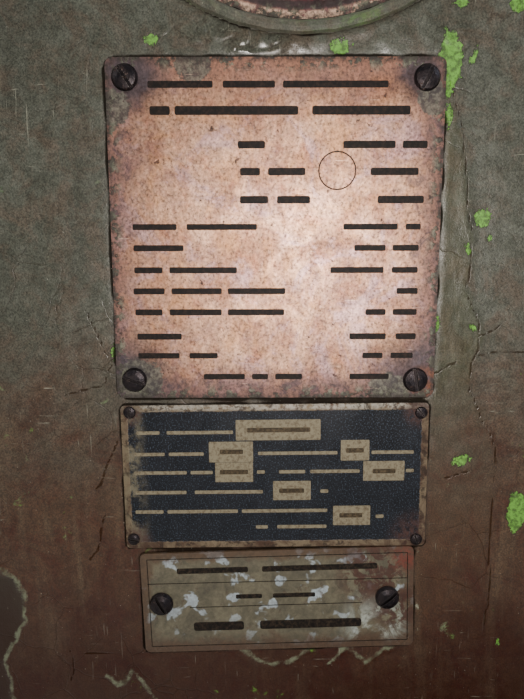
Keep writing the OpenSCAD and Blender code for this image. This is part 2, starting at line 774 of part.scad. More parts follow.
module connecting_rod() {
    color("olivedrab") difference() {
        union() {
            along_y(strap_y0, strap_y1) polygon(rod_outline());
            bar_z(neck_r, rod_foot_z, ecc_z - strap_r - 40, 0, ram_y);
            along_z(rod_foot_z, rod_foot_z + 88)
                polygon(plate_pts(-lug_w, lug_y, lug_w, ram_y, 6));
        }
        bar_y(liner_r, strap_y0 - 1, strap_y1 + 1, ecc_z);
        bar_z(screw_r + seat_c, rod_foot_z - 1, rod_bore_top, 0, ram_y);
        translate([-2, lug_y - 1, rod_foot_z - 1]) cube([4, neck_r + 24, 96]);
        for (z = lug_bolts) bar_x(lug_bolt_r + 0.5, -lug_w - 1, lug_w + 1, lug_y + 13, z);
    }
}

module rod_bush() {
    color("peru") turned_y(ecc_z) polygon([
        [bush_r + run_c, strap_y0], [liner_r, strap_y0], [liner_r, strap_y1], [bush_r + run_c, strap_y1]]);
}

module rod_clamp_bolts() {
    color("dimgray") for (z = lug_bolts) {
        bar_x(lug_bolt_r, -lug_w - 16, lug_w, lug_y + 13, z);
        translate([lug_w, lug_y + 13, z]) rotate([0, 90, 0]) linear_extrude(10) hexagon(22);
        translate([-lug_w - 12, lug_y + 13, z]) rotate([0, 90, 0]) linear_extrude(12) hexagon(22);
    }
}

module adjusting_screw() {
    color("silver") difference() {
        translate([0, ram_y, 0]) rotate_extrude() polygon(concat(
            [for (i = [0:18]) let (a = -90 + i * 8) [ball_r * cos(a), ball_z + ball_r * sin(a)]],
            [[ball_r * 0.66, ball_z + ball_r + 28], [ball_r * 1.15, ball_z + ball_r + 34],
             [ball_r * 1.15, ball_z + ball_r + 62], [screw_r - 4, ball_z + ball_r + 66],
             [screw_r, ball_z + ball_r + 72], [screw_r, rod_bore_top - 6], [screw_r - 4, rod_bore_top - 2],
             [0, rod_bore_top - 2]]));
        for (i = [0:3]) translate([0, ram_y, ball_z + ball_r + 48]) rotate([0, 90, 45 + 90 * i])
            translate([0, 0, ball_r * 0.6]) cylinder(r = 8, h = ball_r);
    }
}

module ball_cup() {
    color("peru") difference() {
        bar_z(cup_r, ball_z - ball_r - cup_base, ball_z, 0, ram_y);
        translate([0, ram_y, ball_z]) sphere(r = ball_r + seat_c);
    }
}

module ball_retainer() {
    color("gray") difference() {
        union() {
            bar_z(cup_r, ball_z, ball_z + ball_r - 8, 0, ram_y);
            for (i = [0:5]) translate([(cup_r - 6) * cos(60 * i), ram_y + (cup_r - 6) * sin(60 * i), 0])
                cylinder_at(4.5, ball_z + ball_r - 9, ball_z + ball_r - 4);
        }
        translate([0, ram_y, ball_z]) sphere(r = ball_r + seat_c);
        bar_z(ball_r * 0.78, ball_z, ball_z + ball_r, 0, ram_y);
    }
}

// Upright cylinder from z0 to z1
module cylinder_at(r, z0, z1) {
    translate([0, 0, z0]) cylinder(r = r, h = z1 - z0);
}

// Band brake behind the column
band_t = 4;
lining_t = 6;
lug_gap = 16;
band_w = drum_w - 10;
band_y = drum_y + 5;
band_in = brake_r + 0.4;
band_out = band_in + lining_t + band_t;
lug_len = 34;
lug_t = 12;
anchor_a = 30;

module brake_drum() {
    color("gray") difference() {
        turned_y(shaft_z) polygon([
            [seat_r + 5 + seat_c, drum_y], [seat_r + 28, drum_y], [seat_r + 28, drum_y + 22],
            [brake_r - 16, drum_y + 22], [brake_r - 16, drum_y], [brake_r, drum_y], [brake_r, drum_y + drum_w],
            [brake_r - 16, drum_y + drum_w], [brake_r - 16, drum_y + 36], [seat_r + 28, drum_y + 36],
            [seat_r + 28, drum_y + drum_w], [seat_r + 5 + seat_c, drum_y + drum_w]]);
        for (i = [0:5]) rotate_about_shaft(60 * i + 30) bar_y(11, drum_y, drum_y + drum_w, shaft_z + brake_r - 42);
    }
}

// Turns children about the main shaft's axis
module rotate_about_shaft(a) {
    translate([0, 0, shaft_z]) rotate([0, a, 0]) translate([0, 0, -shaft_z]) children();
}

// Lined steel band, open at its left side, with two lugs for the tension bolt
module brake_band() {
    color("saddlebrown") difference() {
        union() {
            turned_y(shaft_z) polygon([[band_in, band_y], [band_out, band_y],
                [band_out, band_y + band_w], [band_in, band_y + band_w]]);
            translate([-band_out - lug_len + 4, band_y, shaft_z - lug_gap / 2 - lug_t])
                cube([lug_len, band_w, 2 * lug_t + lug_gap]);
        }
        translate([-band_out - lug_len, band_y - 1, shaft_z - lug_gap / 2])
            cube([lug_len + 30, band_w + 2, lug_gap]);
        bar_z(7, shaft_z - 40, shaft_z + 40, brake_bolt_x, band_y + band_w / 2);
    }
}

brake_bolt_x = -band_out - 16;
brake_bolt_y = band_y + band_w / 2;
spring_len = 62;

// Tension bolt through the band's lugs, with the bracket that holds the band from turning
module brake_anchor() {
    color("dimgray") union() {
        bar_z(6, shaft_z - lug_gap / 2 - lug_t - 10, shaft_z + lug_gap / 2 + lug_t + spring_len + 16,
            brake_bolt_x, brake_bolt_y);
        translate([brake_bolt_x, brake_bolt_y, shaft_z - lug_gap / 2 - lug_t - 10]) linear_extrude(10) hexagon(19);
        translate([brake_bolt_x, brake_bolt_y, shaft_z + lug_gap / 2 + lug_t + spring_len]) {
            cylinder(r = 14, h = 3);
            linear_extrude(13) hexagon(19);
        }
        translate([-band_out - 30, back_y, shaft_z - lug_gap / 2 - lug_t - 34])
            cube([20, band_y + 8 - back_y, 33.8]);
        translate([-band_out - 25, back_y, shaft_z - lug_gap / 2 - lug_t - 60]) cube([42, 9, 66]);
    }
}

module brake_spring() {
    color("silver") translate([brake_bolt_x, brake_bolt_y, shaft_z + lug_gap / 2 + lug_t + 3])
        coil(10, 2.4, 7, (spring_len - 6) / 7);
}

// Clutch collar and the tail of its rolling key, which rests just above the pawl
collar_r = 105;
key_angle = 12.5 - 90 - atan2(shaft_z - trip_z, -trip_x);

module clutch_collar() {
    color("slategray") difference() {
        bar_y(collar_r, collar_y, collar_y + collar_w, shaft_z);
        bar_y(seat_r + 5 + seat_c, collar_y - 1, collar_y + collar_w + 1, shaft_z);
        rotate_about_shaft(key_angle) along_y(collar_y - 1, collar_y + collar_w + 1) translate([0, shaft_z])
            polygon(plate_pts(-14, collar_r - 20, 14, collar_r + 20, 3));
    }
}

module clutch_key() {
    color("silver") rotate_about_shaft(key_angle) along_y(collar_y + 1, collar_y + collar_w - 1)
        translate([0, shaft_z]) polygon(plate_pts(-13.6, collar_r - 19.6, 13.6, collar_r + 12, 3));
}

// Involute gears

function involute(a) = tan(a) * 180 / PI - a;

// Half the tooth's angle at radius r
function tooth_half(m, z, r) = let (rb = m * z * cos(20) / 2, a = acos(min(1, rb / r)))
    90 / z - backlash / (m * z) * 90 / PI + involute(20) - involute(a);

// Outline of a spur gear with the middle of a tooth at angle 0
function gear_outline(m, z, steps) = let (
        rb = m * z * cos(20) / 2,
        ra = m * (z / 2 + 1),
        rf = m * (z / 2 - 1.25),
        r0 = max(rb, rf + 0.5))
    [for (i = [0:z - 1]) let (mid = 360 / z * i) each concat(
        [[rf * cos(mid - tooth_half(m, z, r0) - 0.4), rf * sin(mid - tooth_half(m, z, r0) - 0.4)]],
        [for (k = [0:steps]) let (r = r0 + (ra - r0) * k / steps, a = mid - tooth_half(m, z, r))
            [r * cos(a), r * sin(a)]],
        [for (k = [steps:-1:0]) let (r = r0 + (ra - r0) * k / steps, a = mid + tooth_half(m, z, r))
            [r * cos(a), r * sin(a)]],
        [[rf * cos(mid + tooth_half(m, z, r0) + 0.4), rf * sin(mid + tooth_half(m, z, r0) + 0.4)]])];

gear_hub_r = seat_r + 40;
gear_rim_r = gear_m * gear_z / 2 - 34;
gear_web = 26;
gear_hole_r = (gear_rim_r - gear_hub_r) / 2 - 16;

module bull_gear() {
    color("darkslategray") difference() {
        along_y(gear_y, gear_y + gear_w) translate([0, shaft_z]) rotate(-90)
            polygon(gear_outline(gear_m, gear_z, 2));
        for (y = [gear_y - 1, gear_y + (gear_w + gear_web) / 2])
            turned_y(shaft_z) polygon([[gear_hub_r, y], [gear_rim_r, y],
                [gear_rim_r, y + (gear_w - gear_web) / 2 + 1], [gear_hub_r, y + (gear_w - gear_web) / 2 + 1]]);
        for (i = [0:5]) rotate_about_shaft(60 * i)
            bar_y(gear_hole_r, gear_y, gear_y + gear_w, shaft_z + (gear_hub_r + gear_rim_r) / 2);
        bar_y(seat_r + 10, gear_y - 1, gear_y + gear_w + 1, shaft_z);
    }
}

module gear_bush() {
    color("peru") turned_y(shaft_z) polygon([[seat_r + run_c, gear_y], [seat_r + 10, gear_y],
        [seat_r + 10, gear_y + gear_w], [seat_r + run_c, gear_y + gear_w]]);
}

module gear_keeper() {
    color("dimgray") union() {
        bar_y(seat_r + 16, gear_y + gear_w + 0.3, gear_y + gear_w + 8, shaft_z);
        for (i = [0:2]) rotate_about_shaft(120 * i)
            bar_y(7, gear_y + gear_w + 7, gear_y + gear_w + 12, shaft_z + 32);
        bar_y(30, gear_y + gear_w, gear_y + gear_w + 1, shaft_z);
    }
}

// Countershaft with pinion and flywheel
wheel_hub_r = counter_r + 42;
wheel_nut_y = wheel_y + flywheel_w + 12;

module countershaft() {
    color("lightsteelblue") turned_y(counter_z) polygon([
        [0, back_y - 226], [counter_r, back_y - 226], [counter_r, wheel_nut_y],
        [counter_r - 8, wheel_nut_y], [counter_r - 8, wheel_nut_y + 26], [counter_r - 11, wheel_nut_y + 29],
        [0, wheel_nut_y + 29]]);
}

module pinion() {
    color("slategray") difference() {
        union() {
            along_y(gear_y - 2, gear_y + gear_w + 2) translate([0, counter_z])
                rotate(90 + 180 / pinion_z) polygon(gear_outline(gear_m, pinion_z, 4));
            bar_y(gear_m * (pinion_z / 2 - 1.25) - 1, counter_flange_y + 1, gear_y, counter_z);
        }
        bar_y(counter_r + seat_c, back_y, wheel_y, counter_z);
    }
}

// Flywheel with six tapered arms and grooves for the belts
arm_n = 6;
rim_in = flywheel_r - 72;

// Window between two arms, its corners rounded
function window_pts(r1, r2, half1, half2) = rounded(concat(
    [[r1 * cos(half1), -r1 * sin(half1), 14], [r2 * cos(half2), -r2 * sin(half2), 30]],
    [for (k = [-2:2]) let (a = half2 * k / 3.4) [r2 * cos(a), r2 * sin(a), 0]],
    [[r2 * cos(half2), r2 * sin(half2), 30], [r1 * cos(half1), r1 * sin(half1), 14]]));

// Sides of a belt groove or belt at y, as [radius, y] points
function groove(y, r_out, r_in, wide, narrow) = [
    [r_out, y - wide / 2], [r_out, y + wide / 2], [r_in, y + narrow / 2], [r_in, y - narrow / 2]];

function belt_line(i) = belt_y + (i - (belt_n - 1) / 2) * belt_pitch;

module grooved_rim(r, y0, y1, z, inner) {
    turned_y(z) difference() {
        polygon([[inner, y0], [r, y0], [r, y1], [inner, y1]]);
        for (i = [0:belt_n - 1]) polygon(groove(belt_line(i), r + EPS, r - 19, 20.4, 12.4));
    }
}

module flywheel() {
    color("firebrick") union() {
        grooved_rim(rim_r, wheel_y, wheel_y + flywheel_w, counter_z, rim_in);
        difference() {
            union() {
                bar_y(wheel_hub_r, wheel_y - 6, wheel_nut_y, counter_z);
                along_y(wheel_y + 40, wheel_y + 70) translate([0, counter_z]) difference() {
                    circle(r = rim_in + 5);
                    for (i = [0:arm_n - 1]) rotate(360 / arm_n * i)
                        polygon(window_pts(wheel_hub_r + 26, rim_in - 12, 13, 26.5));
                }
            }
            bar_y(counter_r + seat_c, wheel_y - 10, wheel_nut_y + 1, counter_z);
        }
    }
}

module flywheel_nut() {
    color("dimgray") difference() {
        union() {
            bar_y(counter_r + 12, wheel_nut_y + 0.2, wheel_nut_y + 5, counter_z);
            along_y(wheel_nut_y + 4, wheel_nut_y + 22) translate([0, counter_z]) hexagon(75);
        }
        bar_y(counter_r - 8 + seat_c, wheel_nut_y, wheel_nut_y + 30, counter_z);
    }
}

counter_flange_y = back_y + 20;

module counter_bearings() {
    color("darkolivegreen") union() {
        difference() {
            union() {
                bar_y(counter_r + 36, back_y + 4, counter_flange_y, counter_z);
                bar_y(counter_r + 13, back_y - 90, back_y + 6, counter_z);
            }
            bar_y(counter_r + run_c, back_y - 100, counter_flange_y + 1, counter_z);
        }
        turned_y(counter_z) polygon([[counter_r + run_c, back_y - 228], [counter_r + 13, back_y - 228],
            [counter_r + 13, back_y - 150], [counter_r + run_c, back_y - 150]]);
        for (i = [0:5]) translate([0, 0, counter_z]) rotate([0, 60 * i, 0]) translate([0, 0, counter_r + 26])
            translate([0, counter_flange_y - EPS, 0]) rotate([-90, 0, 0]) linear_extrude(7) hexagon(13);
    }
}

// Motor on a hinged plate above the head
mount_x = 165;
plate_y0 = guide_back + 310;
plate_y1 = motor_y1 - 6;
hinge_r = 10;
hinge_z = motor_plate_z - 6;
mount_ys = [plate_y0 + 18, back_y - 84];
stud_r = 9;
motor_feet_y = [motor_y0 + 50, motor_y1 - 60];

// Two hinge brackets on the left, two tension studs on the right, and the hinge's pin
module motor_mount() {
    color("darkolivegreen") union() {
        for (y = mount_ys) {
            along_y(y, y + 34) polygon([
                [-mount_x - 45, head_top], [-mount_x + 45, head_top], [-mount_x + 45, head_top + 14],
                [-mount_x + 22, head_top + 22], [-mount_x + 20, hinge_z], [-mount_x + 12, hinge_z + 14],
                [-mount_x - 12, hinge_z + 14], [-mount_x - 20, hinge_z], [-mount_x - 22, head_top + 22],
                [-mount_x - 45, head_top + 14]]);
            bar_z(stud_r, head_top, motor_plate_z + motor_plate_t + 34, mount_x, y + 17);
            for (z = [head_top, motor_plate_z - 14, motor_plate_z + motor_plate_t + 0.2])
                translate([mount_x, y + 17, z]) linear_extrude(13.6) hexagon(28);
        }
        bar_y(hinge_r, mount_ys[0] - 12, mount_ys[1] + 46, hinge_z, -mount_x);
    }
}

module motor_plate() {
    color("darkolivegreen") difference() {
        union() {
            along_z(motor_plate_z, motor_plate_z + motor_plate_t)
                polygon(plate_pts(-mount_x + 22, plate_y0, mount_x + 34, plate_y1, 12));
            for (x = [-mount_x + 22, mount_x + 22])
                along_x(x, x + 12) polygon(rounded([
                    [plate_y0 + 14, motor_plate_z + 1, 0], [plate_y1 - 14, motor_plate_z + 1, 0],
                    [plate_y1 - 34, motor_plate_z + motor_plate_t + 26, 8],
                    [plate_y0 + 34, motor_plate_z + motor_plate_t + 26, 8]]));
            for (y = [mount_ys[0] + 35, mount_ys[1] - 35]) along_y(y, y + 33) polygon(concat(
                arc_pts([-mount_x, hinge_z], 20, 90, 300, 12),
                [[-mount_x + 40, motor_plate_z + 1], [-mount_x + 40, motor_plate_z + motor_plate_t],
                 [-mount_x, hinge_z + 20]]));
        }
        for (y = mount_ys) translate([0, y + 17, 0]) along_z(motor_plate_z - 1, motor_plate_z + motor_plate_t + 1)
            polygon(plate_pts(mount_x - 12, -stud_r - 2, mount_x + 12, stud_r + 2, stud_r));
        bar_y(hinge_r + 0.3, plate_y0, plate_y1, hinge_z, -mount_x);
    }
}

// Totally enclosed motor with ribs, feet and a fan cover
rib_n = 26;
rib_h = 12;
shield_w = 22;

module motor_ribs() {
    for (i = [0:rib_n - 1]) let (a = 360 / rib_n * (i + 0.5)) if (abs(a - 270) > 38)
        translate([0, 0, motor_z]) rotate([0, -a, 0]) translate([motor_r - rib_h - 2, motor_y0 + 50, -1.5])
            cube([rib_h + 2, motor_len - 82, 3]);
}

module motor_housing() {
    color("darkolivegreen") difference() {
        union() {
            turned_y(motor_z) polygon([
                [0, motor_y0], [motor_r - 24, motor_y0], [motor_r - 8, motor_y0 + 10], [motor_r - 8, motor_y0 + 46],
                [motor_r - 3, motor_y0 + 46], [motor_r - 3, motor_y0 + 58], [motor_r - rib_h, motor_y0 + 58],
                [motor_r - rib_h, motor_y1 - 44], [motor_r - 1, motor_y1 - 44], [motor_r - 1, motor_y1 - shield_w],
                [motor_r - 12, motor_y1 - 14], [58, motor_y1 - 10], [50, motor_y1], [0, motor_y1]]);
            motor_ribs();
            terminal_box();
            for (sx = [-1, 1], y = motor_feet_y) along_y(y - 26, y + 26) polygon([
                [sx * 62, motor_z - motor_r * 0.62], [sx * 96, motor_z - motor_r * 0.6],
                [sx * 104, motor_plate_z + motor_plate_t + motor_foot_h],
                [sx * 128, motor_plate_z + motor_plate_t + motor_foot_h],
                [sx * 128, motor_plate_z + motor_plate_t], [sx * 62, motor_plate_z + motor_plate_t]]);
            for (sx = [-1, 1], y = motor_feet_y) translate([sx * 117, y, motor_plate_z + motor_plate_t + motor_foot_h - EPS])
                linear_extrude(9) hexagon(17);
        }
        bar_y(19 + run_c, motor_y1 - 60, motor_y1 + 1, motor_z);
        for (k = [0:4], i = [0:9 + k * 0]) translate([0, 0, motor_z]) rotate([0, 36 * i + 12 * k, 0])
            bar_y(4, motor_y0 - 1, motor_y0 + 6, 20 + 15 * k);
    }
}

// Terminal box on the motor's right side
module terminal_box() {
    along_x(motor_r - 16, terminal_x - 8)
        polygon(plate_pts(conduit_y - 46, motor_z - 38, conduit_y + 46, motor_z + 38, 8));
    along_x(terminal_x - 8.5, terminal_x)
        polygon(plate_pts(conduit_y - 49, motor_z - 41, conduit_y + 49, motor_z + 41, 9));
    for (sy = [-1, 1], sz = [-1, 1]) translate([terminal_x - EPS, conduit_y + sy * 40, motor_z + sz * 32])
        rotate([0, 90, 0]) cylinder(r = 5, h = 3);
    bar_z(conduit_r + 6, motor_z - 50, motor_z - 37, conduit_end, conduit_y);
}

module motor_shaft() {
    color("silver") bar_y(19, motor_y1 - 58, belt_y + 34, motor_z);
}

module motor_pulley() {
    color("gray") difference() {
        union() {
            grooved_rim(pulley_r + 6, belt_y - 42, belt_y + 42, motor_z, pulley_r - 26);
            bar_y(pulley_r - 25, belt_y - 12, belt_y + 12, motor_z);
            bar_y(36, belt_y - 36, belt_y + 30, motor_z);
        }
        bar_y(19 + seat_c, belt_y - 60, belt_y + 60, motor_z);
    }
}

// Belts: wrapped arcs on both wheels joined by straight runs
module drive_belts() {
    c = motor_z - counter_z;
    r_small = pulley_r + 4;
    r_large = flywheel_r - 2;
    lean = asin((r_large - r_small) / c);
    run = c * cos(lean);
    color("black") for (i = [0:belt_n - 1]) let (y = belt_line(i)) {
        translate([0, 0, motor_z]) rotate([-90, 0, 0]) rotate([0, 0, 180 + lean])
            rotate_extrude(angle = 180 - 2 * lean) polygon(groove(y, r_small, r_small - belt_h, belt_top, belt_low));
        translate([0, 0, counter_z]) rotate([-90, 0, 0]) rotate([0, 0, -lean])
            rotate_extrude(angle = 180 + 2 * lean) polygon(groove(y, r_large, r_large - belt_h, belt_top, belt_low));
        for (side = [0, 1]) mirror([side, 0, 0]) translate([0, 0, motor_z]) rotate([0, -lean, 0])
            translate([0, 0, -run]) linear_extrude(run)
                polygon(groove(y, r_small, r_small - belt_h, belt_top, belt_low));
    }
}

// Lifting eyes on the head
eye_r = 12;
function eye_places() = [for (sx = [-1, 1]) [sx * 120, guide_back + 120]];

module lifting_eyes() {
    color("dimgray") for (p = eye_places()) translate([p[0], p[1], head_top]) {
        translate([0, 0, -30]) cylinder(r = eye_r, h = 42);
        cylinder(r = 26, h = 8);
        translate([0, 0, 46]) rotate([90, 0, 0]) rotate_extrude() translate([27, 0]) circle(r = 9);
    }
}

// Oil cups on the front boss, the head and the guide block
function cup_places() = [
    [0, boss_y + 22, shaft_z + boss_r + 4], [60, back_y - 100, head_top],
    [-gib_x - 26, ram_y, guide_top], [gib_x + 26, ram_y, guide_top]];

module oil_cups() {
    color("goldenrod") for (p = cup_places()) translate(p) {
        rotate_extrude() polygon([[0, 0], [7, 0], [7, 8], [13, 10], [13, 30], [10, 33], [3, 36], [0, 36]]);
        translate([12, -5, 24]) cube([6, 10, 9]);
    }
}

// Foot pedal with its pull rod and trip lever on the left side
foot_bar_x = 170;
pedal_rise = 8;

module foot_pedal() {
    color("darkolivegreen") difference() {
        union() {
            along_x(pull_x - link_w, pull_x) polygon(rounded([
                [pedal_pivot_y + 28, pedal_z - 24, 20], [pedal_pivot_y + 28, pedal_z + 24, 20],
                [pull_y, pedal_z + 26, 10], [pedal_front_y - 10, pedal_z + 20, 8],
                [pedal_front_y - 10, pedal_z - 12, 8], [pull_y, pedal_z - 26, 10]]));
            along_z(pedal_z - 4, pedal_z + 8)
                polygon(plate_pts(pull_x - link_w, pedal_front_y - 60, foot_bar_x, pedal_front_y + 16, 14));
            for (k = [0:7]) along_z(pedal_z + 7, pedal_z + 11)
                translate([k * 36 - 104, pedal_front_y - 22]) square([6, 56], center = true);
        }
        bar_x(link_pin_r + 4 + run_c, pull_x - 30, pull_x + 30, pedal_pivot_y, pedal_z);
        bar_x(link_pin_r + 1, pull_x - 30, pull_x + 30, pull_y, pedal_z);
    }
}

// Pull rod with a fork and a pin at each end, and a plug for the spring
link_x = pull_x - link_w / 2;

module fork() {
    difference() {
        translate([-17, -16, -18]) cube([34, 32, 76]);
        translate([-link_w / 2 - 0.6, -17, -19]) cube([link_w + 1.2, 34, 51]);
    }
    translate([-21, 0, 0]) rotate([0, 90, 0]) cylinder(r = link_pin_r, h = 42);
}

module pull_rod() {
    color("gray") union() {
        bar_z(8, pedal_z + 50, trip_z - 50, link_x, pull_y);
        translate([link_x, pull_y, pedal_z]) fork();
        translate([link_x, pull_y, trip_z]) rotate([180, 0, 90]) fork();
        for (sy = [-1, 1]) translate([link_x - 16, pull_y + sy * 11.8 - 5.2, trip_z]) cube([32, 10.4, 26]);
        translate([link_x - 16, pull_y - 17, trip_z + 24]) cube([32, 34, 8]);
        bar_z(7.6, trip_z + 31, trip_z + 46, link_x, pull_y);
    }
}

// Rock shaft with the slotted lever that the rod pulls and the pawl beside the clutch collar
pawl_y = collar_y;
pawl_angle = atan2(shaft_z - trip_z, -trip_x);
pawl_len = norm([trip_x, shaft_z - trip_z]) - collar_r - 2;

module trip_lever() {
    color("gray") union() {
        bar_y(11, pull_y - 20, pawl_y + collar_w, trip_z, trip_x);
        difference() {
            union() {
                bar_y(20, pull_y - 18, pull_y + 18, trip_z, trip_x);
                along_y(pull_y - link_w / 2, pull_y + link_w / 2) polygon(rounded([
                    [trip_x, trip_z - 16, 0], [link_x + 15, trip_z - 13, 10],
                    [link_x + 15, trip_z + 13, 10], [trip_x, trip_z + 16, 0]]));
            }
            along_y(pull_y - 10, pull_y + 10) polygon(plate_pts(link_x - link_pin_r - 1,
                trip_z - link_pin_r - 0.5, link_x + link_pin_r + 4, trip_z + link_pin_r + 0.5, link_pin_r));
        }
        translate([trip_x, 0, trip_z]) rotate([0, -pawl_angle, 0]) along_y(pawl_y, pawl_y + collar_w)
            polygon(rounded([[-22, -20, 12], [pawl_len, -9, 3], [pawl_len, 9, 3], [-22, 20, 12]]));
    }
}

// Bearing blocks of the rock shaft, pivot of the pedal, and the spring's post
post_z = trip_z + 150;

module linkage_brackets() {
    color("darkolivegreen") difference() {
        union() {
            for (y = [pull_y + 50, back_y - 70]) along_y(y, y + 30) polygon(rounded([
                [-wall_x, trip_z - 34, 0], [trip_x - 22, trip_z - 20, 14], [trip_x - 22, trip_z + 20, 14],
                [-wall_x, trip_z + 34, 0]]));
            along_x(pull_x + 5, -wall_x) polygon(rounded([
                [pedal_pivot_y - 34, pedal_z - 34, 12], [pedal_pivot_y + 34, pedal_z - 34, 12],
                [pedal_pivot_y + 34, pedal_z + 34, 12], [pedal_pivot_y - 34, pedal_z + 34, 12]]));
            bar_x(link_pin_r + 4, pull_x - link_w - 12, pull_x + 7, pedal_pivot_y, pedal_z);
            bar_x(link_pin_r + 12, pull_x - link_w - 14, pull_x - link_w - 6, pedal_pivot_y, pedal_z);
            bar_x(7, link_x - 18, -wall_x, pull_y, post_z);
            bar_x(18, -wall_x - 6, -wall_x, pull_y, post_z);
            bar_z(7.6, post_z - 30, post_z, link_x, pull_y);
        }
        bar_y(11 + run_c, pull_y, back_y + 10, trip_z, trip_x);
    }
}

module trip_spring() {
    color("silver") translate([link_x, pull_y, trip_z + 34.2]) coil(10, 2, 11, (post_z - trip_z - 34.2 - 16) / 11);
}

// Switch box, its fittings, conduit and hinged door
door_t = 3;
door_x = box_x1 + 1;
hinge_y = box_y1 + 5;
button_r = 15;
button_y = (box_y0 + box_y1) / 2;
start_z = box_z0 + box_h * 0.72;
stop_z = box_z0 + box_h * 0.5;
switch_z = box_z0 + box_h * 0.22;
button_travel = 5;

module switch_box() {
    color("dimgray") difference() {
        union() {
            along_x(box_x0, box_x1) polygon(plate_pts(box_y0, box_z0, box_y1, box_z1, 6));
            for (y = [box_y0 + 30, box_y1 - 30], z = [box_z0 + 40, box_z1 - 40]) bar_x(14, wall_x, box_x0 + 1, y, z);
            for (z = [box_z0 + 50, box_z1 - 90]) {
                bar_z(5, z, z + 40, box_x1 - 4, hinge_y);
                translate([box_x1 - 9, box_y1 - 1, z]) cube([6, 6, 40]);
            }
        }
        along_x(box_x0 + box_t, box_x1 + 1)
            polygon(plate_pts(box_y0 + box_t, box_z0 + box_t, box_y1 - box_t, box_z1 - box_t, 4));
        bar_z(conduit_r + 0.5, box_z1 - 10, box_z1 + 10, conduit_x, conduit_y);
    }
}

// Contactor, fuse bases and terminal strip inside the box
module box_fittings() {
    color("darkslategray") union() {
        fx = box_x0 + box_t;
        translate([fx, box_y0 + 24, box_z0 + 120]) cube([58, 96, 104]);
        translate([fx + 57, box_y0 + 40, box_z0 + 136]) cube([14, 64, 72]);
        for (i = [0:2]) {
            translate([fx, box_y0 + 26 + i * 44, box_z0 + 24]) cube([34, 38, 70]);
            bar_x(13, fx + 33, fx + 56, box_y0 + 45 + i * 44, box_z0 + 59);
        }
        translate([fx, box_y0 + 24, box_z1 - 66]) cube([26, 110, 30]);
        for (i = [0:6]) bar_x(4.5, fx + 25, fx + 30, box_y0 + 32 + i * 15, box_z1 - 51);
    }
}

// Steel conduit from the switch box up to the motor, with its saddles and nuts
bend_r = 38;
run_z = motor_z - 92;
conduit_end = (motor_r + terminal_x) / 2;

// Quarter bend about Y at (x, z), from angle a
module bend(x, z, a) {
    translate([x, conduit_y, z]) rotate([90, 0, 0]) rotate([0, 0, a])
        rotate_extrude(angle = 90) translate([bend_r, 0]) circle(r = conduit_r);
}

module conduit() {
    color("gray") union() {
        bar_z(conduit_r, box_z1 - 9, run_z - bend_r, conduit_x, conduit_y);
        bend(conduit_x - bend_r, run_z - bend_r, 0);
        bar_x(conduit_r, conduit_end + bend_r, conduit_x - bend_r, conduit_y, run_z);
        bend(conduit_end + bend_r, run_z + bend_r, 180);
        bar_z(conduit_r, run_z + bend_r, motor_z - 50, conduit_end, conduit_y);
        for (z = [box_z1 + 60, box_z1 + 330, box_z1 + 600])
            translate([wall_x, conduit_y - 22, z]) cube([conduit_x - wall_x + conduit_r + 3, 44, 18]);
        bar_z(conduit_r + 6, box_z1, box_z1 + 14, conduit_x, conduit_y);
    }
}

module box_door() {
    color("gray") difference() {
        union() {
            along_x(door_x, door_x + door_t) polygon(plate_pts(box_y0 - 4, box_z0 - 4, box_y1 + 1, box_z1 + 4, 8));
            difference() {
                along_x(door_x - 14, door_x + 1) polygon(plate_pts(box_y0 - 4, box_z0 - 4, box_y1 + 1, box_z1 + 4, 8));
                along_x(door_x - 15, door_x + 2) polygon(plate_pts(box_y0 - 1.5, box_z0 - 1.5, box_y1 + 2, box_z1 + 1.5, 6));
            }
            for (z = [box_z0 + 90.3, box_z1 - 49.7]) {
                bar_z(5, z, z + 38, box_x1 - 4, hinge_y);
                translate([box_x1 - 4, box_y1 + 0.5, z]) cube([8, hinge_y - box_y1 - 0.5, 38]);
            }
            for (z = [start_z, stop_z]) bar_x(button_r + 7, door_x + door_t - 1, door_x + door_t + 5, button_y, z);
            bar_x(button_r + 14, door_x + door_t - 1, door_x + door_t + 4, button_y, switch_z);
            bar_x(9, door_x + door_t - 1, door_x + door_t + 10, box_y0 + 16, (box_z0 + box_z1) / 2);
        }
        for (z = [start_z, stop_z]) bar_x(button_r + 0.3, door_x - 20, door_x + 30, button_y, z);
        bar_x(8 + run_c, door_x - 20, door_x + 30, button_y, switch_z);
    }
}

// Push button that stands in the door's collar, held by a flange behind the door
module push_button(z, proud) {
    bar_x(button_r, door_x - 1, door_x + door_t + 5 + proud, button_y, z);
    bar_x(button_r + 5, door_x - 6.3, door_x - 0.3, button_y, z);
}

module start_button() {
    color("green") push_button(start_z, button_travel - 2);
}

module stop_button() {
    color("red") union() {
        push_button(stop_z, button_travel + 1);
        translate([door_x + door_t + button_travel + 5.5, button_y, stop_z]) rotate([0, 90, 0])
            rotate_extrude() polygon([[0, 0], [19, 0], [21, 3], [20, 7], [14, 11], [0, 12.5]]);
    }
}

module main_switch() {
    color("black") union() {
        bar_x(8, door_x - 6, door_x + door_t + 8, button_y, switch_z);
        bar_x(14, door_x - 6, door_x - 0.3, button_y, switch_z);
        bar_x(22, door_x + door_t + 4.3, door_x + door_t + 12, button_y, switch_z);
        along_x(door_x + door_t + 11, door_x + door_t + 26) polygon(rounded([
            [button_y - 7, switch_z - 20, 4], [button_y + 7, switch_z - 20, 4],
            [button_y + 5, switch_z + 24, 3], [button_y - 5, switch_z + 24, 3]]));
    }
}

// Data plates on the right wall, each turned a little on its screws

// Places the plate's outline, drawn about its own middle, on the wall
module on_wall(z, turn, dy = 0) {
    along_x(wall_x, wall_x + plate_t) translate([plates_y + dy, z]) rotate(turn) children();
}

module round_plate() {
    color("peru") bar_x(round_r, wall_x, wall_x + plate_t, round_y, round_z);
}

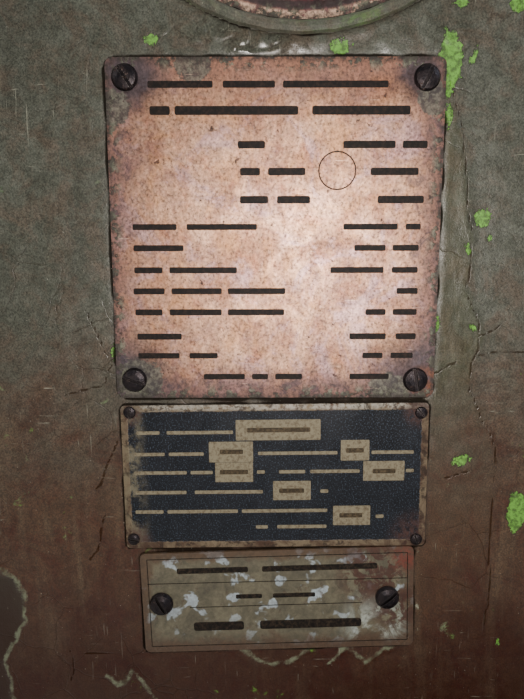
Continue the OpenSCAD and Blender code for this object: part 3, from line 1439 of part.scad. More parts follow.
module rating_plate() {
    color("peru") on_wall(rating_z, 0.1)
        polygon(plate_pts(-rating_w / 2, -rating_h / 2, rating_w / 2, rating_h / 2, 2.5));
}

module electrical_plate() {
    color("black") on_wall(electric_z, 0.6, 0.2)
        polygon(plate_pts(-electric_w / 2, -electric_h / 2, electric_w / 2, electric_h / 2, 1.5));
}

module inventory_plate() {
    color("tan") on_wall(inventory_z, 1.8, 1.4)
        polygon(plate_pts(-inventory_w / 2, -inventory_h / 2, inventory_w / 2, inventory_h / 2, 2));
}

// Slotted round-head screw of radius r on a plate, its slot turned by a
module slotted_head(y, z, r, h, a) {
    translate([wall_x + plate_t, y, z]) rotate([0, 90, 0]) difference() {
        rotate_extrude() polygon([[0, 0], [r, 0], [r, h * 0.3], [r * 0.86, h * 0.7], [r * 0.5, h * 0.95], [0, h]]);
        rotate(a) translate([-r - 1, -r * 0.13, h * 0.45]) cube([2 * r + 2, r * 0.26, h]);
    }
}

module plate_screws() {
    rating_in = 6.5;
    rivet_in = 3;
    inventory_in = 8.5;
    color("dimgray") union() {
        for (p = [[-1, 1, 35], [1, 1, -25], [-1, -1, 70], [1, -1, 10]])
            slotted_head(plates_y + p[0] * (rating_w / 2 - rating_in),
                rating_z + p[1] * (rating_h / 2 - rating_in), 4.3, 2.6, p[2]);
        for (p = [[-1, 1, 0], [1, 1, 40], [-1, -1, 80], [1, -1, 20]])
            slotted_head(plates_y + 0.2 + p[0] * (electric_w / 2 - rivet_in),
                electric_z + p[1] * (electric_h / 2 - rivet_in), 2.2, 1.3, p[2]);
        for (p = [[-1, 30], [1, -50]])
            slotted_head(plates_y + p[0] * (inventory_w / 2 - inventory_in),
                inventory_z + p[0] * (inventory_w / 2 - inventory_in) * sin(1.8), 4.4, 2.6, p[1]);
        for (a = [45, 135, 225, 315])
            slotted_head(round_y + (round_r - 8) * cos(a), round_z + (round_r - 8) * sin(a), 2.2, 1.3, a);
    }
}

frame();
bolster_plate();
frame_bolts();
shaft_bearings();
gib_left();
gib_right();
gib_caps();
ram();
shank_clamp();
shank_nuts();
knockout_bar();
crankshaft();
eccentric_bush();
stroke_ring();
shaft_nut();
connecting_rod();
rod_bush();
rod_clamp_bolts();
adjusting_screw();
ball_cup();
ball_retainer();
brake_drum();
brake_band();
brake_anchor();
brake_spring();
clutch_collar();
clutch_key();
bull_gear();
gear_bush();
gear_keeper();
countershaft();
pinion();
flywheel();
flywheel_nut();
counter_bearings();
motor_mount();
motor_plate();
motor_housing();
motor_shaft();
motor_pulley();
drive_belts();
lifting_eyes();
oil_cups();
foot_pedal();
pull_rod();
trip_lever();
linkage_brackets();
trip_spring();
switch_box();
box_fittings();
conduit();
box_door();
start_button();
stop_button();
main_switch();
round_plate();
rating_plate();
electrical_plate();
inventory_plate();
plate_screws();
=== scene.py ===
import json
import math
from functools import partial

import bmesh
import bpy
import numpy as np
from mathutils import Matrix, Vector


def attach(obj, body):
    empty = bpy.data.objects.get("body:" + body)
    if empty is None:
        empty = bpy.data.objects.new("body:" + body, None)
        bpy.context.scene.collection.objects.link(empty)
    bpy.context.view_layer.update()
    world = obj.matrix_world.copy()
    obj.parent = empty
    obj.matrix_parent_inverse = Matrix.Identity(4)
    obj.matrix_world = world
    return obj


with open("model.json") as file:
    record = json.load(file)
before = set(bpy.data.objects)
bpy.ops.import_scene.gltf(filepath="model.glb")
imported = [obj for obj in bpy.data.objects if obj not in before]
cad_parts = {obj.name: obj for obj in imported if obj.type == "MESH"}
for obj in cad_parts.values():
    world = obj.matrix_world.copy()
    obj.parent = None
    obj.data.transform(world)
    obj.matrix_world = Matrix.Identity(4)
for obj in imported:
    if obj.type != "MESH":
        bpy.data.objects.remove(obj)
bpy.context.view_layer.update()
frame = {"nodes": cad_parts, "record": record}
nodes = frame["nodes"]
print("frame loaded:", len(nodes), "nodes")

# The wall's face and the plates' face in metres, and the camera at the photograph's place in front of them
wallX = 0.230
plateTop = 0.231
cameraSettings = {"lens": 31.93, "place": (0.44577, 0.19543, 1.46457), "pitch": 9.074}


def makeCamera(settings):
    data = bpy.data.cameras.new("camera")
    data.lens = settings["lens"]
    data.sensor_width = 36
    data.clip_start = 0.01
    camera = bpy.data.objects.new("camera", data)
    camera.location = settings["place"]
    camera.rotation_euler = (math.radians(90 - settings["pitch"]), 0, math.radians(90))
    bpy.context.scene.collection.objects.link(camera)
    bpy.context.scene.camera = camera


makeCamera(cameraSettings)


# Colours and nodes
def srgb(text):
    parts = [int(text[i:i + 2], 16) / 255 for i in (1, 3, 5)]
    return [*(v / 12.92 if v <= 0.04045 else ((v + 0.055) / 1.055) ** 2.4 for v in parts), 1.0]


# Each kind of node that the materials use: its type, the sockets its inputs go to, its output and settings
nodeKinds = {
    "plus": ("Math", (0, 1), 0, {"operation": "ADD"}),
    "minus": ("Math", (0, 1), 0, {"operation": "SUBTRACT"}),
    "times": ("Math", (0, 1), 0, {"operation": "MULTIPLY"}),
    "most": ("Math", (0, 1), 0, {"operation": "MAXIMUM"}),
    "least": ("Math", (0, 1), 0, {"operation": "MINIMUM"}),
    "absolute": ("Math", (0,), 0, {"operation": "ABSOLUTE"}),
    "step": ("MapRange", (0, 1, 2, 3, 4), 0, {"interpolation_type": "SMOOTHSTEP"}),
    "mix": ("Mix", (0, 6, 7), 2, {"data_type": "RGBA"}),
    "shade": ("Mix", (0, 6, 7), 2, {"data_type": "RGBA", "blend_type": "MULTIPLY"}),
    "noise": ("TexNoise", ("Vector", "Scale", "Detail", "Roughness", "Distortion"), 0, {}),
    "drift": ("TexNoise", ("Vector", "Scale", "Detail"), 1, {}),
    "cracks": ("TexVoronoi", ("Vector", "Scale"), 0, {"feature": "DISTANCE_TO_EDGE"}),
    "stretch": ("Mapping", ("Vector", "Scale"), 0, {}),
    "place": ("Mapping", ("Vector", "Location", "Rotation"), 0, {"vector_type": "TEXTURE"}),
    "split": ("SeparateXYZ", (0,), slice(3), {}),
    "point": ("CombineXYZ", (0, 1, 2), 0, {}),
    "vector plus": ("VectorMath", (0, 1), 0, {"operation": "ADD"}),
    "vector minus": ("VectorMath", (0, 1), 0, {"operation": "SUBTRACT"}),
    "vector times": ("VectorMath", (0, 1), 0, {"operation": "MULTIPLY"}),
    "vector scale": ("VectorMath", (0, 3), 0, {"operation": "SCALE"}),
    "dot": ("VectorMath", (0, 1), "Value", {"operation": "DOT_PRODUCT"}),
    "distance": ("VectorMath", (0, 1), "Value", {"operation": "DISTANCE"}),
    "length": ("VectorMath", (0,), "Value", {"operation": "LENGTH"}),
    "field": ("Attribute", (), "Fac", {}),
    "object": ("TexCoord", (), "Object", {}),
    "geometry": ("NewGeometry", (), "Normal", {}),
    "bevel": ("Bevel", ("Radius",), 0, {"samples": 4}),
    "corners": ("AmbientOcclusion", ("Distance",), "AO", {"samples": 4}),
    "bump": ("Bump", ("Height", "Distance"), 0, {}),
}


def addNode(tree, kind, *inputs, **settings):
    name, sockets, out, fixed = nodeKinds[kind]
    node = tree.nodes.new("ShaderNode" + name)
    for key, value in {**fixed, **settings}.items():
        setattr(node, key, value)
    for key, value in zip(sockets, inputs):
        if isinstance(value, bpy.types.NodeSocket):
            tree.links.new(value, node.inputs[key])
        else:
            node.inputs[key].default_value = value
    return node.outputs[out]


def startMaterial(name):
    material = bpy.data.materials.new(name)
    material.use_nodes = True
    tree = material.node_tree
    tree.nodes.clear()
    shader = tree.nodes.new("ShaderNodeBsdfPrincipled")
    end = tree.nodes.new("ShaderNodeOutputMaterial")
    tree.links.new(shader.outputs["BSDF"], end.inputs["Surface"])
    add = partial(addNode, tree)
    return material, add, shader, add("object")


def feed(shader, **values):
    names = {"colour": "Base Color", "rough": "Roughness", "metal": "Metallic", "normal": "Normal",
             "shine": "Specular IOR Level"}
    for key, value in values.items():
        socket = shader.inputs[names[key]]
        if isinstance(value, bpy.types.NodeSocket):
            shader.id_data.links.new(value, socket)
        else:
            socket.default_value = value


# What the materials share. A noise's scale is 1000 over its grain in millimetres.
def jitter(add, value, noise, amount):
    return add("plus", value, add("times", add("minus", noise, 0.5), amount))


def cover(add, colour, mask, amount, text):
    return add("mix", add("times", mask, amount), colour, srgb(text))


def mottle(add, colour, noise, low, high):
    return add("shade", 1.0, colour, add("step", noise, 0.3, 0.7, low, high))


def warped(add, coords, size, amount):
    drift = add("vector minus", add("drift", coords, 1000 / size, 2), (0.5, 0.5, 0.5))
    return add("vector plus", coords, add("vector scale", drift, amount / 1000))


def edgeWear(add, mm):
    return add("minus", 1.0, add("dot", add("bevel", mm / 1000), add("geometry")))


# Gloss machine paint, brushed on cast iron in thick coats: it pools and crazes, takes brown stains from
# oil and rust, and chips to a green undercoat, or to bare iron on the edges. The box has sprayed enamel.
paints = {
    "frame_paint": {
        "name": "Old gloss machine paint, olive over green undercoat",
        "base": "#41443c", "second": "#383a32", "warm": "#433a30", "streak": "#4d4232", "stain": "#38200f",
        "deep": "#2e0d04", "chip": "#578a32", "pale": "#6c7460", "bare": "#5f5c56",
        "rough": (0.30, 0.52), "stainAmount": 1.0},
    "wheel_paint": {
        "name": "Old gloss machine paint, bare steel at the rim",
        "base": "#3e4038", "second": "#33352d", "warm": "#41372b", "streak": "#494034", "stain": "#33241a",
        "deep": "#24140e", "chip": "#66883e", "pale": "#6a6f5e", "bare": "#6f6d68",
        "rough": (0.34, 0.56), "stainAmount": 0.6},
    "box_enamel": {
        "name": "Chipped grey enamel on sheet steel",
        "base": "#585b52", "second": "#4c4f46", "warm": "#5a5346", "streak": "#57503f", "stain": "#4c4335",
        "deep": "#3a2b1e", "chip": "#4c4a44", "pale": "#a2a496", "bare": "#5a5650",
        "rough": (0.32, 0.5), "stainAmount": 0.35},
}
# Places and heights in metres: the stain below the plates, the stain at the foot, and the flywheel
stainPlace = {"centre": (wallX, 0.19, 1.30), "reach": (0.42, 0.20), "top": (1.455, 1.345),
              "darkest": (1.365, 1.295), "foot": (0.42, 0.12)}
wheelPlace = {"axis": (0.0, 0.0, 1.427), "rim": (0.4225, 0.4240)}
skinFields = ("skin", "older", "thick", "crack", "chip", "peel", "bead", "seamShadow", "wrinkle")


def paintMaterial(p):
    material, add, shader, at = startMaterial(p["name"])
    z = add("split", at)[2]
    field = {name: add("field", attribute_name=name) for name in skinFields}
    broad = add("noise", at, 1000 / 260, 4, 0.6, 0.4)
    middle = add("noise", at, 1000 / 46, 5, 0.62, 0.8)
    fine = add("noise", at, 1000 / 5, 4, 0.6)
    speck = add("noise", at, 1000 / 0.8, 2, 0.5)
    pebble = add("noise", at, 1000 / 0.55, 3, 0.6, 0.3)  # finer in real paint, drawn as coarse as it shows
    colour = add("mix", add("step", middle, 0.34, 0.66), srgb(p["base"]), srgb(p["second"]))
    warm = add("times", add("step", add("noise", at, 1000 / 11, 6, 0.72, 0.6), 0.42, 0.66), 0.7)
    colour = add("mix", warm, colour, srgb(p["warm"]))

    # Brown stain: patches everywhere, and the wall below the plates
    patch = add("times", add("step", broad, 0.48, 0.72), p["stainAmount"] * 0.8)
    drop = jitter(add, z, middle, 0.11)
    low = add("step", drop, *stainPlace["top"])
    away = add("distance", at, stainPlace["centre"])
    near = add("times", low, add("step", away, *stainPlace["reach"]))
    rising = add("plus", z, add("times", middle, 0.2))
    foot = add("times", add("step", rising, *stainPlace["foot"]), 0.7)
    stained = add("most", add("most", patch, near), foot)
    colour = cover(add, colour, stained, 0.85, p["stain"])
    deeper = add("times", stained, add("step", add("noise", at, 1000 / 22, 6, 0.72, 1.2), 0.42, 0.66))
    colour = cover(add, colour, deeper, 0.85, p["deep"])
    streak = add("noise", add("stretch", at, (1.0, 1.0, 0.14)), 1000 / 13, 5, 0.66, 0.4)
    streak = add("step", streak, 0.50, 0.68)
    colour = cover(add, colour, add("times", streak, stained), 0.5, p["streak"])
    colour = mottle(add, colour, pebble, 0.58, 1.42)
    colour = mottle(add, colour, fine, 0.86, 1.14)
    colour = cover(add, colour, field["older"], 0.85, "#1f1b12")
    lowest = add("times", near, add("step", drop, *stainPlace["darkest"]))
    colour = cover(add, colour, lowest, 0.6, "#240a03")
    thick = field["thick"]
    colour = cover(add, colour, thick, 0.32, "#34361f")
    bristles = add("noise", add("stretch", at, (1.0, 1.0, 0.2)), 1000 / 1.8, 4, 0.65, 0.3)
    brushed = add("step", bristles, 0.3, 0.7, 0.78, 1.2)
    colour = add("mix", thick, colour, add("shade", 1.0, colour, brushed))

    # Painted shade darkening the corners, and oil runs on upright faces
    corner = add("step", add("corners", 45 / 1000), 0.86, 0.3)
    runs = add("step", add("noise", add("stretch", at, (1.0, 1.0, 0.09)), 1000 / 60, 4, 0.6, 0.2), 0.56, 0.76)
    runsAndCornerShade = add("most", add("times", corner, 0.85), add("times", runs, 0.45))
    colour = add("mix", runsAndCornerShade, colour, srgb("#211b14"))

    # Crazing: fine wrinkles everywhere, and cracks in patches
    craze = add("cracks", warped(add, at, 9, 5), 1000 / 17)
    craze = add("step", craze, 0.022, 0.0)
    crazed = add("times", craze, add("step", add("noise", at, 1000 / 70, 2, 0.55), 0.52, 0.64))
    drawn = add("step", add("plus", field["crack"], add("times", fine, 0.3)), 0.86, 1.04)
    cracked = add("most", add("times", crazed, 0.55), drawn)
    colour = cover(add, colour, cracked, 0.6, "#20160f")

    # Chips: drawn ones by a field on the mesh, small ones by noise, bare iron on the edges, painted shadow at
    # torn edges
    bite = add("times", add("minus", add("noise", at, 1000 / 2.8, 6, 0.74), 0.5), 0.95)
    ragged = add("noise", add("stretch", at, (1.0, 1.0, 0.5)), 1000 / 1.1, 4, 0.7, 0.4)
    ragged = add("times", add("minus", ragged, 0.5), 0.8)
    torn = add("plus", add("plus", field["chip"], bite), ragged)
    drawnChip = add("step", torn, 0.50, 0.54)
    scatter = add("noise", at, 1000 / 13, 5, 0.72, 0.6)
    where = add("step", add("noise", at, 1000 / 190, 2, 0.55), 0.55, 0.68)
    smallChip = add("times", add("step", scatter, 0.715, 0.735), where)
    wear = add("times", edgeWear(add, 3.0), add("minus", 1.0, field["skin"]))
    worn = add("step", jitter(add, wear, scatter, 0.42), 0.10, 0.16)
    rim = add("step", jitter(add, wear, scatter, 0.42), 0.06, 0.10)
    chip = add("most", drawnChip, smallChip)
    green = add("mix", add("step", middle, 0.4, 0.6), srgb(p["chip"]), srgb(p["pale"]))
    green = cover(add, green, add("step", speck, 0.45, 0.7), 0.5, "#3c4a26")
    bright = add("mix", add("step", add("noise", at, 1000 / 1.6, 5, 0.7), 0.40, 0.62), srgb(p["chip"]),
                 srgb("#37521f"))
    # Painted shadow: a dark line along the chips' torn edges
    shade = add("step", add("absolute", add("minus", torn, 0.46)), 0.05, 0.0)
    colour = add("mix", add("times", rim, 0.55), colour, green)
    colour = add("mix", chip, colour, add("mix", drawnChip, green, bright))
    colour = cover(add, colour, shade, 0.75, "#1c1a10")
    lip = add("step", add("plus", field["peel"], add("times", bite, 1.3)), 0.62, 0.98)
    lipTone = add("times", lip, add("step", add("noise", at, 1000 / 5, 4, 0.6), 0.34, 0.60, 0.15, 0.7))
    colour = add("mix", lipTone, colour, srgb(p["pale"]))

    # Hair scratches along and down the wall, dabs of paint, painted shadow in the seams, bare edges and dust
    along = add("noise", add("stretch", at, (1.0, 0.07, 1.0)), 1000 / 0.8, 2, 0.5, 0.8)
    down = add("noise", add("stretch", at, (1.0, 1.0, 0.05)), 1000 / 0.8, 2, 0.5, 0.8)
    hair = add("most", add("step", along, 0.70, 0.76), add("step", down, 0.69, 0.75))
    hair = add("times", hair, add("step", add("noise", at, 1000 / 30, 3, 0.55), 0.46, 0.6))
    colour = cover(add, colour, hair, 0.45, "#8a8a7b")
    dab = add("step", add("plus", field["bead"], add("times", bite, 2.2)), 1.05, 1.2)
    colour = cover(add, colour, dab, 0.6, "#8d907e")
    # Painted shadow in the gaps round the plates and inside the disc's rim
    seamShadow = add("step", add("plus", field["seamShadow"], add("times", bite, 0.5)), 0.3, 0.75)
    colour = cover(add, colour, seamShadow, 0.92, "#120e0a")
    colour = add("mix", worn, colour, srgb(p["bare"]))
    dust = add("times", add("step", speck, 0.735, 0.78), 0.5)
    colour = add("mix", dust, colour, srgb("#8f8d80"))

    # Gloss, and the height of what stands out or is lost, as a share of the bump's depth
    gloss = add("step", add("plus", fine, add("times", runsAndCornerShade, 0.3)), 0.3, 0.9, *p["rough"])
    gloss = add("plus", gloss, add("times", add("most", chip, seamShadow), 0.25))
    dull = add("most", add("most", seamShadow, cracked), add("times", lip, 0.7))
    dull = add("most", dull, add("times", add("most", thick, lowest), 0.45))
    shine = add("step", dull, 0.0, 1.0, 0.42, 0.04)
    height = add("times", add("noise", add("stretch", at, (1.0, 1.0, 0.55)), 1000 / 2.0, 3, 0.55), 0.12)
    calm = add("minus", 0.16, add("times", field["wrinkle"], 0.13))
    height = add("plus", height, add("times", pebble, calm))
    creases = add("absolute", add("minus", add("noise", at, 1000 / 10, 2, 0.45, 0.4), 0.5))
    wrinkle = add("times", field["wrinkle"], add("step", creases, 0.0, 0.16))
    height = add("plus", height, add("times", wrinkle, 0.85))
    gloss = add("minus", gloss, add("times", field["wrinkle"], 0.13))
    # Painted shade along the wrinkles' creases
    creaseShade = add("times", field["wrinkle"], add("step", creases, 0.020, 0.0))
    colour = cover(add, colour, creaseShade, 0.6, "#16120c")
    for way, mask, part in (("plus", middle, 0.35), ("plus", fine, 0.14), ("minus", chip, 0.28),
                            ("minus", cracked, 0.25), ("plus", lip, 0.12), ("minus", worn, 0.15)):
        height = add(way, height, add("times", mask, part))
    if p is paints["wheel_paint"]:  # the flywheel's rim is turned bright where the belts run
        away = add("vector minus", at, wheelPlace["axis"])
        flat = add("vector times", away, (1.0, 0.0, 1.0))
        radius = add("length", flat)
        bright = add("step", radius, *wheelPlace["rim"])
        rings = add("noise", add("stretch", at, (0.02, 1.0, 0.02)), 1000 / 0.8, 2, 0.5)
        steel = add("mix", rings, srgb("#77746e"), srgb("#4e4a44"))
        steel = add("mix", add("step", middle, 0.5, 0.7), steel, srgb("#4b3526"))
        colour = add("mix", bright, colour, steel)
        worn = add("most", worn, bright)
    metal = add("times", worn, 0.7)
    feed(shader, colour=colour, rough=gloss, metal=metal, shine=shine,
         normal=add("bump", height, 0.55 / 1000))
    return material


# Bare metals, turned, milled or drawn: fine tool lines, patches darkened by oil, rust in patches, painted
# shade in the corners, and edges rubbed bright
metals = {
    "machined_steel": {"name": "Machined steel with an oil film", "base": "#8d8a83", "second": "#6c6860",
                       "oil": "#352a1e", "rust": "#5a3620", "rough": (0.24, 0.46), "metal": 0.92,
                       "pit": 0.05},
    "dark_steel": {"name": "Dark oily steel", "base": "#45423e", "second": "#2d2a28", "oil": "#15110d",
                   "rust": "#4a2b1a", "rough": (0.32, 0.55), "metal": 0.8, "pit": 0.10},
    "grey_iron": {"name": "Machined grey iron, greasy", "base": "#66625c", "second": "#4a4641",
                  "oil": "#1c1610", "rust": "#57331e", "rough": (0.34, 0.6), "metal": 0.8, "pit": 0.16},
    "bronze": {"name": "Turned bearing bronze", "base": "#a5804c", "second": "#7d5a30", "oil": "#33230f",
               "rust": "#4d5a3c", "rough": (0.26, 0.48), "metal": 0.95, "pit": 0.04},
    "spring_steel": {"name": "Drawn spring wire", "base": "#7d7a75", "second": "#5a5751", "oil": "#2a2118",
                     "rust": "#6a3d22", "rough": (0.28, 0.5), "metal": 0.9, "pit": 0.06},
}


def metalMaterial(m):
    material, add, shader, at = startMaterial(m["name"])
    broad = add("noise", at, 1000 / 120, 4, 0.6, 0.5)
    middle = add("noise", at, 1000 / 18, 5, 0.65, 0.5)
    tool = add("noise", add("stretch", at, (0.04, 1.0, 0.04)), 1000 / 0.7, 2, 0.5)
    colour = add("mix", add("step", middle, 0.3, 0.7), srgb(m["base"]), srgb(m["second"]))
    colour = cover(add, colour, tool, 0.25, m["second"])
    oily = add("times", add("step", broad, 0.45, 0.68), 0.6)
    colour = add("mix", oily, colour, srgb(m["oil"]))
    rusty = add("step", add("noise", at, 1000 / 7, 6, 0.75, 0.4), 0.6, 0.72)
    rusty = add("times", rusty, add("step", broad, 0.6, 0.42))
    colour = cover(add, colour, rusty, 0.75, m["rust"])
    # Painted shade: the corners darkened in the oil colour
    corner = add("step", add("corners", 22 / 1000), 0.85, 0.25)
    colour = cover(add, colour, corner, 0.8, m["oil"])
    wear = edgeWear(add, 1.6)
    colour = cover(add, colour, add("step", wear, 0.04, 0.2), 0.55, "#a9a59c")
    gloss = add("step", middle, 0.25, 0.8, *m["rough"])
    gloss = add("plus", gloss, add("times", rusty, 0.3))
    metal = add("minus", m["metal"], add("times", rusty, 0.6))
    pits = add("noise", at, 1000 / 1.6, 3, 0.55)
    height = add("plus", add("times", tool, 0.06), add("times", pits, m["pit"]))
    height = add("plus", height, add("times", rusty, 0.08))
    feed(shader, colour=colour, rough=gloss, metal=metal, normal=add("bump", height, 0.5 / 1000))
    return material


# Belt rubber, black phenolic and the buttons' moulded caps: one even colour, dulled by dust, paler on edges,
# with painted shade in the corners
plains = {
    "belt_rubber": {"name": "Dusty belt rubber", "base": "#1d1c1b", "second": "#34312d", "size": 6,
                    "rough": (0.6, 0.85), "bump": 0.2},
    "dark_moulding": {"name": "Moulded black phenolic", "base": "#1c1917", "second": "#2c2622", "size": 14,
                      "rough": (0.28, 0.5), "bump": 0.05},
    "green_button": {"name": "Worn green gloss cap", "base": "#1f5a2c", "second": "#173d20", "size": 9,
                     "rough": (0.25, 0.45), "bump": 0.05},
    "red_button": {"name": "Worn red gloss cap", "base": "#8f1d16", "second": "#5e130f", "size": 9,
                   "rough": (0.25, 0.45), "bump": 0.05},
}


def plainMaterial(p):
    material, add, shader, at = startMaterial(p["name"])
    coarse = add("noise", at, 1000 / p["size"], 5, 0.65, 0.4)
    fine = add("noise", at, 1000 / 0.9, 2, 0.55)
    colour = add("mix", add("step", coarse, 0.35, 0.7), srgb(p["base"]), srgb(p["second"]))
    dust = add("times", add("step", add("plus", fine, add("times", coarse, 0.3)), 0.7, 0.9), 0.35)
    colour = add("mix", dust, colour, srgb("#8a8272"))
    # Painted shade darkening the corners
    corner = add("step", add("corners", 12 / 1000), 0.85, 0.3)
    colour = cover(add, colour, corner, 0.7, "#14110d")
    wear = add("step", edgeWear(add, 1.2), 0.05, 0.2)
    colour = cover(add, colour, wear, 0.3, "#9a9384")
    feed(shader, colour=colour, rough=add("step", coarse, 0.3, 0.8, *p["rough"]), metal=0.0,
         normal=add("bump", fine, p["bump"] / 1000))
    return material


# The three data plates and the round plate: centre as (y, z) and half size in metres, turn in degrees,
# corner radius in mm. Each stain or bared patch is its place on the plate, its core and its reach.
plateSettings = {
    "round": {"centre": (0.2084, 1.609), "half": (0.0705, 0.0705), "turn": 0.0},
    "rating": {
        "centre": (0.2000, 1.4700), "half": (0.0560, 0.0570), "turn": 0.1, "corner": 4.0,
        "stains": [((-0.0495, -0.0505), 0.004, 0.021), ((0.0495, -0.0505), 0.004, 0.026),
                   ((-0.0495, 0.0505), 0.004, 0.015), ((0.0495, 0.0505), 0.004, 0.013)],
        "bared": [((-0.0475, -0.0505), 0.002, 0.015), ((-0.0275, 0.0545), 0.002, 0.011),
                  ((0.0515, 0.0440), 0.002, 0.010), ((-0.0535, 0.0415), 0.002, 0.011),
                  ((0.0400, -0.0545), 0.002, 0.013)],
        "rust": ((0.0535, -0.0520), 0.003, 0.009)},
    "electric": {
        "centre": (0.2002, 1.3835), "half": (0.0550, 0.0270), "turn": 0.6, "corner": 2.0,
        "stains": [((0.051, -0.023), 0.002, 0.012), ((0.052, 0.024), 0.002, 0.008),
                   ((-0.052, -0.024), 0.002, 0.008), ((-0.052, 0.024), 0.002, 0.006)]},
    "inventory": {
        "centre": (0.2014, 1.3351), "half": (0.05075, 0.0200), "turn": 1.8, "corner": 2.0,
        "pale": ((0.037, -0.0105), 0.002, 0.017), "red": ((0.0475, 0.0155), 0.001, 0.0075),
        "rust": [((0.036, 0.010), 0.006, 0.019), ((0.044, -0.004), 0.004, 0.014)]},
}


def plateAxes(add, at, plate):
    y, z = plate["centre"]
    turned = add("place", at, (plateTop, y, z), (math.radians(plate["turn"]), 0, 0))
    return add("split", turned)[1:]


def insideEdge(add, u, v, half):
    across = add("minus", half[0], add("absolute", u))
    along = add("minus", half[1], add("absolute", v))
    return add("least", across, along)


def spot(add, u, v, place, core, reach):
    return add("step", add("distance", add("point", u, v, 0.0), (*place, 0.0)), reach, core)


